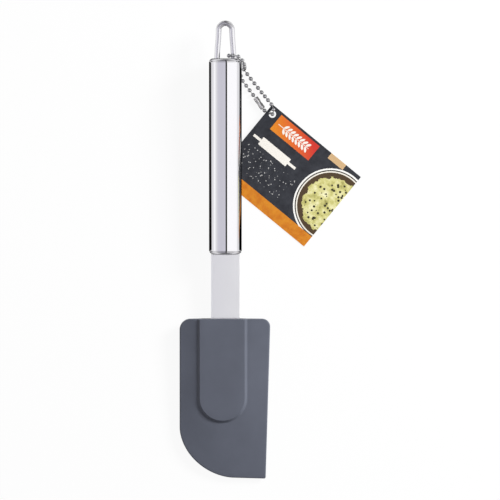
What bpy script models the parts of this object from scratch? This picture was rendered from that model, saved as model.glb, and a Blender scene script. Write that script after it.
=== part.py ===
"""Dough cutter: a silicone blade on a flat steel bar, a tubular steel handle and a hang tag.

Units are metres. The cutter is drawn in its own frame, with the origin on the handle's axis at
the tube's lower end: +Y runs along the handle from the blade to the hanging loop, +X points to
the blade's slanted side, and +Z stands out of the blade's upper face. That frame is tipped by
the small angle at which the cutter lies on a table, on the rim of its handle and the end of its
socket. The bead chain and the card tag lie on the table beside it, in the table's frame.
The model's origin is on the table, under the middle of the whole model's box.
"""

import math

import bmesh
import bpy
import numpy as np
from mathutils import Matrix, Vector

# Clearances between neighbouring pieces
GAP = 0.0003
FIT = 0.0002

# How far cutters reach past what they cut, and points closer than this are joined
CUT_MARGIN = 0.0050
TAPER_OVERRUN = 0.0012
WELD_DISTANCE = 0.000001

# Handle tube and its end caps
TUBE_DIAMETER = 0.0196
TUBE_WALL = 0.0008
HANDLE_LENGTH = 0.1173
END_ROUND = 0.0024
CAP_RIM = 0.0015
CAP_PLATE = 0.0030
SPIGOT_LENGTH = 0.0080
SPIGOT_WALL = 0.0012

# Hanging loop of round wire
LOOP_WIRE = 0.0033
LOOP_HEIGHT = 0.0226
LOOP_FOOT_SPREAD = 0.0098
LOOP_CROWN_SPREAD = 0.0080
LOOP_LEG_IN_CAP = 0.0060

# Flat bar between handle and blade
BAR_WIDTH = 0.0173
BAR_THICKNESS = 0.0020
BAR_EXPOSED = 0.0389
BAR_IN_HEAD = 0.0480
BAR_CORNER = 0.0030
STEM_WIDTH = 0.0120
STEM_LENGTH = 0.0150
PEG_DIAMETER = 0.0044
PEG_SPACING = 0.0210
PEG_FROM_BAR_END = 0.0110

# Silicone head: blade outline, taper and raised socket
HEAD_LENGTH = 0.0962
HEAD_LEFT = 0.0275
HEAD_RIGHT = 0.0270
HEAD_RIGHT_AT_HEEL = 0.0242
HEEL_DROP = 0.0005
HEAD_CORNER_LEFT = 0.0065
HEAD_CORNER_RIGHT = 0.0048
HEEL_CORNER = 0.0010
BELLY_WIDTH = 0.0330
BELLY_HEIGHT = 0.0304
BELLY_EXPONENT = 1.85
BODY_THICKNESS = 0.0060
EDGE_THICKNESS = 0.0015
SOCKET_THICKNESS = 0.0088
SOCKET_WIDTH = 0.0310
SOCKET_LENGTH = 0.0630
SOCKET_OFFSET = -0.0019
SOCKET_CHAMFER = 0.0020

# Moulded core on the bar, inside the head's pocket
CORE_WIDTH = 0.0240
CORE_THICKNESS = 0.0050
CORE_RECESS = 0.0005

# Bead chain and its connector
BEAD_DIAMETER = 0.0024
BEAD_PITCH = 0.00336
LINK_WIRE = 0.0006
BEAD_CLEARANCE = 0.0004
TABLE_CLEARANCE = 0.0001
CONNECTOR_LENGTH = 0.0081
CONNECTOR_DIAMETER = 0.0030
CONNECTOR_WALL = 0.0002
CONNECTOR_MOUTH = 0.0019
CONNECTOR_SLOT = 0.0006
CONNECTOR_SLOT_TURN = math.radians(35)
CONNECTOR_BEAD_SPREAD = 0.0052

# Card tag
TAG_LENGTH = 0.0688
TAG_WIDTH = 0.0540
TAG_THICKNESS = 0.00045
TAG_TURN = math.radians(-39.4)
TAG_HOLE_DIAMETER = 0.0044
TAG_HOLE_ALONG = 0.0037
TAG_HOLE_ACROSS = 0.0046
TAG_LIFT = 0.0044
TAG_BEND_LENGTH = 0.0450

# Where the tag's hole and the chain lie on the table, from the handle's axis and lower end
HOLE_X = 0.0282
HOLE_Y = 0.0840
CONNECTOR_X = 0.0203
CONNECTOR_Y = 0.0907
CONNECTOR_TURN = math.radians(-55.5)
FRONT_BEAD_X = 0.0110
FRONT_BEAD_Y = 0.1109
BACK_BEAD_X = 0.0103
BACK_BEAD_Y = 0.1040

# Fineness of the round shapes
TUBE_SIDES = 48
ROD_SIDES = 24
CONNECTOR_SIDES = 20
LOOP_ROUND_STEPS = 4
CHAIN_ROUND_STEPS = 2
ARC_STEPS = 6
BELLY_STEPS = 22
BEAD_RINGS = 6
BEND_STEPS = 8
ROUTE_STEPS = 16

TUBE_RADIUS = TUBE_DIAMETER / 2
BORE_RADIUS = TUBE_RADIUS - TUBE_WALL
BEAD_RADIUS = BEAD_DIAMETER / 2
LINK_RADIUS = LINK_WIRE / 2
LOOP_RADIUS = LOOP_WIRE / 2
HEAD_TOP = -BAR_EXPOSED
HEAD_BOTTOM = HEAD_TOP - HEAD_LENGTH
SOCKET_RADIUS = SOCKET_WIDTH / 2
SOCKET_CENTRE = HEAD_TOP - SOCKET_LENGTH + SOCKET_RADIUS
TAPER_START = HEAD_TOP - SOCKET_LENGTH
TABLE_BEAD = BEAD_RADIUS + TABLE_CLEARANCE

# The cutter rests on the tube's lower rim and on the far end of the socket's flat
REST_SPAN = END_ROUND - (TAPER_START + SOCKET_CHAMFER)
TILT = math.atan2(TUBE_RADIUS - SOCKET_THICKNESS / 2, REST_SPAN)
AXIS_HEIGHT = TUBE_RADIUS * math.cos(TILT) - END_ROUND * math.sin(TILT)
TILTED = Matrix.Translation((0, 0, AXIS_HEIGHT)) @ Matrix.Rotation(TILT, 4, "X")

ALONG_HANDLE = (-math.pi / 2, 0, 0)
ACROSS_BLADE = (math.pi / 2, 0, 0)
SIDE_ON = (math.pi / 2, 0, math.pi / 2)


def clear_scene():
    """Remove every object of the start-up scene."""
    for obj in list(bpy.data.objects):
        bpy.data.objects.remove(obj, do_unlink=True)


def new_collection(name):
    """Add an empty collection to the scene."""
    collection = bpy.data.collections.new(name)
    bpy.context.scene.collection.children.link(collection)
    return collection


def new_material(name, colour, roughness, metallic):
    """Make a plain Principled material from a linear colour."""
    material = bpy.data.materials.new(name)
    material.use_nodes = True
    shader = material.node_tree.nodes["Principled BSDF"]
    shader.inputs["Base Color"].default_value = (*colour, 1.0)
    shader.inputs["Roughness"].default_value = roughness
    shader.inputs["Metallic"].default_value = metallic
    return material


def new_empty(name, collection, parent=None, location=(0, 0, 0), rotation=(0, 0, 0)):
    """Add an empty that carries other objects."""
    empty = bpy.data.objects.new(name, None)
    empty.empty_display_size = 0.01
    empty.location = location
    empty.rotation_euler = rotation
    empty.parent = parent
    collection.objects.link(empty)
    return empty


def place(obj, collection, parent, location=(0, 0, 0), rotation=(0, 0, 0), material=None):
    """Link an object, put it under its parent and give it its material."""
    collection.objects.link(obj)
    obj.parent = parent
    obj.location = location
    obj.rotation_euler = rotation
    if material is not None:
        obj.data.materials.append(material)
    return obj


def shade_smooth(obj, angle=math.radians(35)):
    """Shade round faces smooth and keep the real edges sharp."""
    obj.data.shade_smooth()
    obj.data.set_sharp_from_angle(angle=angle)


def arc(centre, radius, start, end, steps=ARC_STEPS):
    """Points on an arc in the plane, from one angle to another, both included."""
    angles = np.linspace(start, end, steps + 1)
    xs = centre[0] + radius * np.cos(angles)
    ys = centre[1] + radius * np.sin(angles)
    return list(zip(xs.tolist(), ys.tolist()))


def turned(name, profile, closed, sides):
    """Turn a profile of (radius, height) points about Z; its outer side runs downwards."""
    mesh = bpy.data.meshes.new(name)
    count = len(profile)
    edges = [(i, i + 1) for i in range(count - 1)]
    if closed:
        edges.append((count - 1, 0))
    mesh.from_pydata([(r, 0, h) for r, h in profile], edges, [])
    obj = bpy.data.objects.new(name, mesh)
    screw = obj.modifiers.new("Turn", "SCREW")
    screw.axis = "Z"
    screw.angle = math.tau
    screw.steps = sides
    screw.render_steps = sides
    screw.use_merge_vertices = True
    screw.merge_threshold = WELD_DISTANCE
    screw.use_smooth_shade = True
    return obj


def plate_curve(name, outlines, thickness):
    """A flat outline, with any holes as further outlines, extruded both ways from its plane."""
    curve = bpy.data.curves.new(name, "CURVE")
    curve.dimensions = "2D"
    curve.fill_mode = "BOTH"
    curve.extrude = thickness / 2
    for outline in outlines:
        spline = curve.splines.new("POLY")
        spline.points.add(len(outline) - 1)
        for point, (x, y) in zip(spline.points, outline):
            point.co = (x, y, 0, 1)
        spline.use_cyclic_u = True
    return bpy.data.objects.new(name, curve)


def tube_curve(name, points, radii, resolution):
    """A round tube along a path of points, with a radius of its own at each point."""
    curve = bpy.data.curves.new(name, "CURVE")
    curve.dimensions = "3D"
    curve.fill_mode = "FULL"
    widest = max(radii)
    curve.bevel_depth = widest
    curve.bevel_resolution = resolution
    curve.use_fill_caps = True
    spline = curve.splines.new("POLY")
    spline.points.add(len(points) - 1)
    for point, place_at, radius in zip(spline.points, points, radii):
        point.co = (*place_at, 1)
        point.radius = radius / widest
    spline.use_smooth = True
    return bpy.data.objects.new(name, curve)


def as_mesh(curve_object):
    """Replace a curve object by a welded mesh object of the same name and place."""
    bpy.context.view_layer.update()
    name = curve_object.name
    curve_object.name = name + "_curve"
    graph = bpy.context.evaluated_depsgraph_get()
    mesh = bpy.data.meshes.new_from_object(curve_object.evaluated_get(graph))
    weld = bmesh.new()
    weld.from_mesh(mesh)
    bmesh.ops.remove_doubles(weld, verts=weld.verts, dist=WELD_DISTANCE)
    weld.to_mesh(mesh)
    weld.free()
    obj = bpy.data.objects.new(name, mesh)
    obj.parent = curve_object.parent
    obj.matrix_parent_inverse = curve_object.matrix_parent_inverse
    obj.location = curve_object.location
    obj.rotation_euler = curve_object.rotation_euler
    for collection in list(curve_object.users_collection):
        collection.objects.link(obj)
    bpy.data.objects.remove(curve_object, do_unlink=True)
    return obj


def cutter_box(name, collection, parent, low, high):
    """A box between two corners, kept out of the model, for a Boolean."""
    box = bmesh.new()
    bmesh.ops.create_cube(box, size=1)
    size = Vector(high) - Vector(low)
    bmesh.ops.scale(box, vec=size, verts=box.verts)
    mesh = bpy.data.meshes.new(name)
    box.to_mesh(mesh)
    box.free()
    obj = bpy.data.objects.new(name, mesh)
    centre = (Vector(low) + Vector(high)) / 2
    return hide_cutter(place(obj, collection, parent, location=centre))


def cutter_rod(name, collection, parent, radius, length, location, rotation=(0, 0, 0)):
    """A round rod about its own Z, kept out of the model, for a Boolean."""
    rod = bmesh.new()
    bmesh.ops.create_cone(
        rod, cap_ends=True, segments=ROD_SIDES, radius1=radius, radius2=radius, depth=length,
    )
    mesh = bpy.data.meshes.new(name)
    rod.to_mesh(mesh)
    rod.free()
    obj = bpy.data.objects.new(name, mesh)
    return hide_cutter(place(obj, collection, parent, location=location, rotation=rotation))


def hide_cutter(obj):
    """Mark an object as a tool of the model, not a piece of it."""
    obj.hide_render = True
    obj.display_type = "WIRE"
    return obj


def combine(obj, other, operation):
    """Add a live exact Boolean of one object with another."""
    boolean = obj.modifiers.new(other.name, "BOOLEAN")
    boolean.operation = operation
    boolean.solver = "EXACT"
    boolean.object = other


def mirror_profile(profile, length):
    """The same turned profile with its ends swapped, still running downwards outside."""
    return [(r, length - h) for r, h in reversed(profile)]


def build_tube(parts, cutter, steel):
    """The open handle tube, its ends drawn in a little where the caps' rounding begins."""
    low = CAP_RIM + GAP
    drawn = END_ROUND - low
    mouth = TUBE_RADIUS - END_ROUND + math.sqrt(END_ROUND ** 2 - drawn ** 2)
    high = HANDLE_LENGTH - low
    profile = [
        (BORE_RADIUS, high),
        (mouth, high),
        (TUBE_RADIUS, HANDLE_LENGTH - END_ROUND),
        (TUBE_RADIUS, END_ROUND),
        (mouth, low),
        (BORE_RADIUS, low),
    ]
    tube = turned("handle_tube", profile, True, TUBE_SIDES)
    place(tube, parts, cutter, rotation=ALONG_HANDLE, material=steel)
    shade_smooth(tube)


def cap_profile():
    """Half section of an end cap: rounded rim, solid plate and a spigot inside the tube."""
    start = math.asin((END_ROUND - CAP_RIM) / END_ROUND)
    centre = (TUBE_RADIUS - END_ROUND, END_ROUND)
    rounding = arc(centre, END_ROUND, -start, -math.pi / 2)
    spigot = BORE_RADIUS - FIT
    depth = CAP_RIM + SPIGOT_LENGTH
    inner = spigot - SPIGOT_WALL
    return [
        (0, CAP_PLATE),
        (inner, CAP_PLATE),
        (inner, depth),
        (spigot, depth),
        (spigot, CAP_RIM),
    ] + rounding + [(0, 0)]


def build_bottom_cap(parts, tools, cutter, steel):
    """The lower end cap, with the slot that the bar's stem passes through."""
    cap = turned("bottom_cap", cap_profile(), False, TUBE_SIDES)
    place(cap, parts, cutter, rotation=ALONG_HANDLE, material=steel)
    half_width = STEM_WIDTH / 2 + FIT
    half_thickness = BAR_THICKNESS / 2 + FIT
    slot = cutter_box(
        "stem_slot", tools, cutter,
        (-half_width, -CUT_MARGIN, -half_thickness),
        (half_width, CAP_PLATE + CUT_MARGIN, half_thickness),
    )
    combine(cap, slot, "DIFFERENCE")
    shade_smooth(cap)


def build_top_cap(parts, tools, cutter, steel):
    """The upper end cap, with two holes for the legs of the hanging loop."""
    profile = mirror_profile(cap_profile(), HANDLE_LENGTH)
    cap = turned("top_cap", profile, False, TUBE_SIDES)
    place(cap, parts, cutter, rotation=ALONG_HANDLE, material=steel)
    for side in (-1, 1):
        hole = cutter_rod(
            "leg_hole_" + ("left" if side < 0 else "right"), tools, cutter,
            LOOP_RADIUS + FIT, 2 * (CAP_PLATE + CUT_MARGIN),
            (side * LOOP_FOOT_SPREAD / 2, HANDLE_LENGTH, 0), ALONG_HANDLE,
        )
        combine(cap, hole, "DIFFERENCE")
    shade_smooth(cap)


def loop_path():
    """The wire's centre line: up the left leg, round the crown and down the right leg."""
    foot = LOOP_FOOT_SPREAD / 2
    crown = LOOP_CROWN_SPREAD / 2
    crown_centre = HANDLE_LENGTH + LOOP_HEIGHT - LOOP_RADIUS - crown
    over = arc((0, crown_centre), crown, math.pi, 0, 2 * ARC_STEPS)
    left = [(-foot, HANDLE_LENGTH - LOOP_LEG_IN_CAP), (-foot, HANDLE_LENGTH + GAP)]
    right = [(-x, y) for x, y in reversed(left)]
    return [(x, y, 0) for x, y in left + over + right]


def build_loop(parts, cutter, steel):
    """The hanging loop, one bent wire with both ends in the upper cap."""
    path = loop_path()
    loop = tube_curve("hanging_loop", path, [LOOP_RADIUS] * len(path), LOOP_ROUND_STEPS)
    place(loop, parts, cutter, material=steel)


def peg_places():
    """The distances along the handle of the two pegs that key the core to the bar."""
    first = HEAD_TOP - BAR_IN_HEAD + PEG_FROM_BAR_END
    return [first, first + PEG_SPACING]


def build_bar(parts, tools, cutter, steel):
    """The flat bar: a narrow stem inside the handle, wide shoulders, and two keying holes."""
    end = HEAD_TOP - BAR_IN_HEAD
    wide = BAR_WIDTH / 2
    stem = STEM_WIDTH / 2
    corner = end + BAR_CORNER
    outline = [(-wide, -FIT)]
    outline += arc((-wide + BAR_CORNER, corner), BAR_CORNER, math.pi, 1.5 * math.pi)
    outline += arc((wide - BAR_CORNER, corner), BAR_CORNER, 1.5 * math.pi, math.tau)
    outline += [(wide, -FIT), (stem, -FIT), (stem, STEM_LENGTH), (-stem, STEM_LENGTH), (-stem, -FIT)]
    bar = place(plate_curve("flat_bar", [outline], BAR_THICKNESS), parts, cutter)
    bar = as_mesh(bar)
    bar.data.materials.append(steel)
    for number, y in enumerate(peg_places()):
        hole = cutter_rod(
            "peg_hole_%d" % number, tools, cutter,
            PEG_DIAMETER / 2 + GAP, BAR_THICKNESS + CUT_MARGIN, (0, y, 0),
        )
        combine(bar, hole, "DIFFERENCE")


def tongue_outline(radius, top):
    """A straight-sided tongue with a half-round end, about the socket's centre line."""
    ends = arc((SOCKET_OFFSET, SOCKET_CENTRE), radius, math.pi, math.tau, 4 * ARC_STEPS)
    return [(SOCKET_OFFSET - radius, top)] + ends + [(SOCKET_OFFSET + radius, top)]


def build_core(parts, tools, cutter, nylon):
    """The moulded core round the bar's end, with a slot for the bar and pegs through its holes."""
    outline = tongue_outline(CORE_WIDTH / 2, HEAD_TOP - CORE_RECESS)
    core = place(plate_curve("head_core", [outline], CORE_THICKNESS), parts, cutter)
    core = as_mesh(core)
    core.data.materials.append(nylon)
    half_width = BAR_WIDTH / 2 + GAP
    half_thickness = BAR_THICKNESS / 2 + GAP
    slot = cutter_box(
        "bar_slot", tools, cutter,
        (-half_width, HEAD_TOP - BAR_IN_HEAD - GAP, -half_thickness),
        (half_width, HEAD_TOP + CUT_MARGIN, half_thickness),
    )
    combine(core, slot, "DIFFERENCE")
    bite = (CORE_THICKNESS - BAR_THICKNESS) / 4
    for number, y in enumerate(peg_places()):
        peg = cutter_rod(
            "peg_%d" % number, tools, cutter,
            PEG_DIAMETER / 2, BAR_THICKNESS + 2 * (GAP + bite), (0, y, 0),
        )
        combine(core, peg, "UNION")


def blade_outline():
    """The blade from above: rounded top corners, slanted right side, near-flat heel and a belly."""
    slant = math.atan2(HEAD_RIGHT - HEAD_RIGHT_AT_HEEL, HEAD_LENGTH)
    left_x = -HEAD_LEFT
    outline = arc(
        (left_x + HEAD_CORNER_LEFT, HEAD_TOP - HEAD_CORNER_LEFT), HEAD_CORNER_LEFT,
        math.pi, math.pi / 2,
    )
    reach = HEAD_CORNER_RIGHT * math.tan(math.pi / 4 + slant / 2)
    outline += arc(
        (HEAD_RIGHT - reach, HEAD_TOP - HEAD_CORNER_RIGHT), HEAD_CORNER_RIGHT,
        math.pi / 2, -slant,
    )
    outline += arc(
        (HEAD_RIGHT_AT_HEEL - HEEL_CORNER, HEAD_BOTTOM + HEEL_CORNER), HEEL_CORNER,
        -slant, -math.pi / 2,
    )
    return outline + belly_curve()


def belly_curve():
    """The big lower-left curve, a quarter of a superellipse, from the heel up to the left side."""
    centre_x = -HEAD_LEFT + BELLY_WIDTH
    centre_y = HEAD_BOTTOM + HEEL_DROP + BELLY_HEIGHT
    turn = np.linspace(-math.pi / 2, -math.pi, BELLY_STEPS + 1)
    power = 2 / BELLY_EXPONENT
    xs = centre_x - BELLY_WIDTH * np.abs(np.cos(turn)) ** power
    ys = centre_y - BELLY_HEIGHT * np.abs(np.sin(turn)) ** power
    return list(zip(xs.tolist(), ys.tolist()))


def side_taper():
    """Section across the blade: full thickness beside the socket, thin at both side edges."""
    body = BODY_THICKNESS / 2
    edge = EDGE_THICKNESS / 2
    left_root = SOCKET_OFFSET - SOCKET_RADIUS
    right_root = SOCKET_OFFSET + SOCKET_RADIUS
    left_slope = (body - edge) / (HEAD_LEFT + left_root)
    right_slope = (body - edge) / (HEAD_RIGHT - right_root)
    left_end = edge - TAPER_OVERRUN * left_slope
    right_end = edge - TAPER_OVERRUN * right_slope
    left_x = -HEAD_LEFT - TAPER_OVERRUN
    right_x = HEAD_RIGHT + TAPER_OVERRUN
    upper = [(right_x, right_end), (right_root, body), (left_root, body), (left_x, left_end)]
    lower = [(x, -z) for x, z in reversed(upper)]
    return upper + lower


def length_taper():
    """Section along the blade: full thickness down to the socket's end, then thin to the heel."""
    body = BODY_THICKNESS / 2
    edge = EDGE_THICKNESS / 2
    slope = (body - edge) / (TAPER_START - HEAD_BOTTOM)
    low = HEAD_BOTTOM - TAPER_OVERRUN
    tip = edge - TAPER_OVERRUN * slope
    high = HEAD_TOP + CUT_MARGIN
    upper = [(high, body), (TAPER_START, body), (low, tip)]
    lower = [(y, -z) for y, z in reversed(upper)]
    return upper + lower


def hidden_plate(name, tools, cutter, outline, thickness, location=(0, 0, 0), rotation=(0, 0, 0)):
    """A flat outline made solid, kept out of the model, for a Boolean."""
    plate = plate_curve(name, [outline], thickness)
    place(plate, tools, cutter, location=location, rotation=rotation)
    return hide_cutter(as_mesh(plate))


def build_socket_form(tools, cutter):
    """The raised socket: a tongue as thick as the head, its long edges chamfered both sides."""
    outline = tongue_outline(SOCKET_RADIUS, HEAD_TOP + CUT_MARGIN)
    socket = hidden_plate("socket_form", tools, cutter, outline, SOCKET_THICKNESS)
    chamfer = socket.modifiers.new("Chamfer", "BEVEL")
    chamfer.width = SOCKET_CHAMFER
    chamfer.segments = 1
    chamfer.use_clamp_overlap = False
    chamfer.limit_method = "ANGLE"
    chamfer.angle_limit = math.radians(60)
    return socket


def build_blade(parts, tools, cutter, silicone):
    """The silicone head: tapered blade, raised socket on both faces, and the core's pocket."""
    blade = place(plate_curve("blade", [blade_outline()], SOCKET_THICKNESS), parts, cutter)
    blade = as_mesh(blade)
    blade.data.materials.append(silicone)
    middle = (HEAD_TOP + HEAD_BOTTOM) / 2
    long_enough = HEAD_LENGTH + 4 * CUT_MARGIN
    wide_enough = HEAD_LEFT + HEAD_RIGHT + 4 * CUT_MARGIN
    combine(blade, hidden_plate(
        "side_taper", tools, cutter, side_taper(), long_enough, (0, middle, 0), ACROSS_BLADE,
    ), "INTERSECT")
    combine(blade, hidden_plate(
        "length_taper", tools, cutter, length_taper(), wide_enough, (0, 0, 0), SIDE_ON,
    ), "INTERSECT")
    combine(blade, build_socket_form(tools, cutter), "UNION")
    reach = HEAD_LEFT + HEAD_RIGHT
    trim = cutter_box(
        "top_trim", tools, cutter,
        (-reach, HEAD_TOP, -SOCKET_THICKNESS),
        (reach, HEAD_TOP + 3 * CUT_MARGIN, SOCKET_THICKNESS),
    )
    combine(blade, trim, "DIFFERENCE")
    pocket_outline = tongue_outline(CORE_WIDTH / 2 + GAP, HEAD_TOP + 2 * CUT_MARGIN)
    pocket = hidden_plate("pocket", tools, cutter, pocket_outline, CORE_THICKNESS + 2 * GAP)
    combine(blade, pocket, "DIFFERENCE")
    shade_smooth(blade, math.radians(20))


def smooth_route(points):
    """A smooth curve through the points (Catmull-Rom), as a dense line of points."""
    anchors = [np.array(p, dtype=float) for p in points]
    anchors = [2 * anchors[0] - anchors[1]] + anchors + [2 * anchors[-1] - anchors[-2]]
    dense = []
    for before, start, end, after in zip(anchors, anchors[1:], anchors[2:], anchors[3:]):
        t = np.linspace(0, 1, ROUTE_STEPS, endpoint=False)[:, None]
        pull = 2 * start + (end - before) * t
        pull = pull + (2 * before - 5 * start + 4 * end - after) * t ** 2
        pull = pull + (3 * start - before - 3 * end + after) * t ** 3
        dense.append(pull / 2)
    dense.append(anchors[-2][None, :])
    return np.vstack(dense)


def bead_centres(route):
    """Bead centres on both ends of a route and evenly between, near the chain's own pitch."""
    line = smooth_route(route)
    steps = np.linalg.norm(np.diff(line, axis=0), axis=1)
    run = np.concatenate([[0], np.cumsum(steps)])
    count = max(1, round(run[-1] / BEAD_PITCH))
    at = np.linspace(0, run[-1], count + 1)
    return np.stack([np.interp(at, run, line[:, axis]) for axis in range(3)], axis=1)


def beaded_path(centres, directions):
    """Path points and radii of hollow beads on a wire: a ball at each centre, thin between."""
    first = math.asin(LINK_RADIUS / BEAD_RADIUS)
    angles = np.linspace(first, math.pi - first, BEAD_RINGS + 1)
    points = []
    radii = []
    for centre, direction in zip(centres, directions):
        for angle in angles:
            points.append(centre - direction * BEAD_RADIUS * math.cos(angle))
            radii.append(BEAD_RADIUS * math.sin(angle))
    return points, radii


def bead_directions(centres):
    """The direction of the wire through each bead, from the beads before and after it."""
    ahead = np.gradient(centres, axis=0)
    return ahead / np.linalg.norm(ahead, axis=1)[:, None]


def hanger_point(height):
    """A point on the vertical line through the loop's right leg, that far from the leg's axis."""
    leg_y = HANDLE_LENGTH + BEAD_RADIUS + BEAD_CLEARANCE
    leg = TILTED @ Vector((LOOP_FOOT_SPREAD / 2, leg_y, 0))
    return leg + Vector((0, 0, height))


def wrap_radius():
    """How far the beads round the leg lie from its axis."""
    return LOOP_RADIUS + BEAD_RADIUS + BEAD_CLEARANCE


def build_hanger(parts, table, steel):
    """The four beads that pass through the loop's eye, round the inner side of its right leg."""
    centre = np.array(hanger_point(0))
    angles = np.linspace(math.pi / 2, 1.5 * math.pi, 4)
    flat = np.zeros(4)
    centres = centre + wrap_radius() * np.stack([np.cos(angles), flat, np.sin(angles)], axis=1)
    directions = np.stack([-np.sin(angles), flat, np.cos(angles)], axis=1)
    points, radii = beaded_path(centres, directions)
    hanger = tube_curve("chain_hanger", points, radii, CHAIN_ROUND_STEPS)
    place(hanger, parts, table, material=steel)


def connector_point(reach):
    """A point on the connector's axis, that far from its middle towards the tag."""
    x = CONNECTOR_X + reach * math.cos(CONNECTOR_TURN)
    y = CONNECTOR_Y + reach * math.sin(CONNECTOR_TURN)
    return (x, y, CONNECTOR_DIAMETER / 2 + TABLE_CLEARANCE)


def hole_bead():
    """The centre of the bead that sits in the tag's hole."""
    return (HOLE_X, HOLE_Y, TAG_LIFT - 0.0008)


def shoulder_route():
    """From above the leg round the cap's shoulder and down beside the tube to the table."""
    beside = TUBE_RADIUS + BEAD_RADIUS + BEAD_CLEARANCE
    start = hanger_point(wrap_radius())
    return [
        start,
        (beside - 0.0037, HANDLE_LENGTH + 0.0009, start.z + 0.0017),
        (beside - 0.0016, HANDLE_LENGTH - 0.0010, start.z + 0.0018),
        (beside - 0.0003, HANDLE_LENGTH - 0.0032, start.z - 0.0003),
        (beside, HANDLE_LENGTH - 0.0050, start.z - 0.0040),
        (beside, HANDLE_LENGTH - 0.0058, 0.0100),
        (beside - 0.0002, HANDLE_LENGTH - 0.0061, 0.0050),
        front_bead(),
    ]


def front_bead():
    """The bead of the front strand that first lies on the table."""
    return (FRONT_BEAD_X, FRONT_BEAD_Y, TABLE_BEAD)


def back_bead():
    """The bead of the back strand that lies where it comes out from under the handle."""
    return (BACK_BEAD_X, BACK_BEAD_Y, TABLE_BEAD)


def front_route():
    """Along the table to the tag, over its lifted corner and into its hole."""
    card = TAG_LIFT + TAG_THICKNESS
    return [
        front_bead(),
        (HOLE_X - 0.0131, HOLE_Y + 0.0215, TABLE_BEAD),
        (HOLE_X - 0.0068, HOLE_Y + 0.0135, TABLE_BEAD + 0.0003),
        (HOLE_X - 0.0030, HOLE_Y + 0.0088, card),
        (HOLE_X - 0.0006, HOLE_Y + 0.0058, card + BEAD_RADIUS + 0.0003),
        (HOLE_X + 0.0006, HOLE_Y + 0.0030, card + BEAD_RADIUS - 0.0002),
        hole_bead(),
    ]


def under_card_route():
    """From the tag's hole down under the card to the connector's near end."""
    return [
        hole_bead(),
        (HOLE_X - 0.0026, HOLE_Y + 0.0012, TABLE_BEAD + 0.0003),
        connector_point(CONNECTOR_LENGTH / 2 + BEAD_RADIUS),
        connector_point(CONNECTOR_BEAD_SPREAD / 2),
    ]


def drop_route():
    """From below the leg down past the cap's face, then along the table under the handle."""
    start = hanger_point(-wrap_radius())
    return [
        start,
        (start.x, start.y + 0.0003, start.z - 0.0035),
        (start.x, start.y + 0.0002, start.z - 0.0075),
        (start.x + 0.0003, start.y - 0.0010, 0.0027),
        (start.x + 0.0012, start.y - 0.0034, TABLE_BEAD),
        back_bead(),
    ]


def back_route():
    """From the handle's edge along the table to the connector's far end."""
    return [
        back_bead(),
        (BACK_BEAD_X + 0.0060, BACK_BEAD_Y - 0.0080, TABLE_BEAD),
        connector_point(-CONNECTOR_BEAD_SPREAD / 2),
    ]


def build_strand(name, routes, parts, swing, steel):
    """One strand of the chain, its wire starting just clear of the hanger's end bead."""
    stretches = [bead_centres(route) for route in routes]
    centres = np.vstack([stretches[0]] + [stretch[1:] for stretch in stretches[1:]])
    directions = bead_directions(centres)
    lead = centres[1] - centres[0]
    lead = lead / np.linalg.norm(lead)
    points, radii = beaded_path(centres[1:], directions[1:])
    points = [centres[0] + lead * (BEAD_RADIUS + GAP)] + points
    radii = [LINK_RADIUS] + radii
    pivot = np.array(swing.location)
    strand = tube_curve(name, [p - pivot for p in points], radii, CHAIN_ROUND_STEPS)
    place(strand, parts, swing, material=steel)


def build_connector(parts, tools, swing, steel):
    """The rolled sleeve that holds the chain's two end beads, open along one side."""
    outer = CONNECTOR_DIAMETER / 2
    inner = outer - CONNECTOR_WALL
    mouth = CONNECTOR_MOUTH / 2
    half = CONNECTOR_LENGTH / 2
    lip = outer - mouth
    upper = [
        (inner, half - lip), (mouth, half - CONNECTOR_WALL), (mouth, half),
        (outer - lip / 2, half - lip / 8), (outer, half - lip),
    ]
    lower = [(r, -h) for r, h in reversed(upper)]
    sleeve = turned("chain_connector", upper + lower, True, CONNECTOR_SIDES)
    height = outer + TABLE_CLEARANCE
    location = Vector((CONNECTOR_X, CONNECTOR_Y, height)) - swing.location
    rotation = (math.pi / 2, 0, CONNECTOR_TURN + math.pi / 2)
    place(sleeve, parts, swing, location=location, rotation=rotation, material=steel)
    slot = cutter_box(
        "connector_slot", tools, sleeve,
        (-CONNECTOR_SLOT / 2, 0, -CONNECTOR_LENGTH),
        (CONNECTOR_SLOT / 2, 2 * outer, CONNECTOR_LENGTH),
    )
    slot.matrix_local = Matrix.Rotation(CONNECTOR_SLOT_TURN, 4, "Z") @ Matrix.Translation(slot.location)
    combine(sleeve, slot, "DIFFERENCE")
    shade_smooth(sleeve)


def bend_tag(mesh, corner, direction):
    """Cut the card across its bend, then raise its hole corner on a smooth upward curve."""
    card = bmesh.new()
    card.from_mesh(mesh)
    for step in range(1, BEND_STEPS + 1):
        line = corner + direction * TAG_BEND_LENGTH * step / BEND_STEPS
        everything = card.verts[:] + card.edges[:] + card.faces[:]
        bmesh.ops.bisect_plane(card, geom=everything, plane_co=line, plane_no=direction)
    for vertex in card.verts:
        along = (vertex.co - corner).dot(direction)
        rise = max(0.0, 1 - along / TAG_BEND_LENGTH)
        vertex.co.z += TAG_LIFT * rise ** 2
    card.to_mesh(mesh)
    card.free()


def build_tag(parts, swing, paper):
    """The card tag, turned about its punched hole, its hole corner lifted by the chain."""
    left = -TAG_HOLE_ALONG
    right = left + TAG_LENGTH
    top = TAG_HOLE_ACROSS
    bottom = top - TAG_WIDTH
    edge = [(left, top), (left, bottom), (right, bottom), (right, top)]
    hole = arc((0, 0), TAG_HOLE_DIAMETER / 2, 0, math.tau, 4 * ARC_STEPS)[:-1]
    tag = place(plate_curve("hang_tag", [edge, hole], TAG_THICKNESS), parts, swing)
    tag = as_mesh(tag)
    tag.data.materials.append(paper)
    corner = Vector((left, top, 0))
    direction = Vector((right - left, bottom - top, 0)).normalized()
    bend_tag(tag.data, corner, direction)
    tag.rotation_euler = (0, 0, TAG_TURN)


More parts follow.
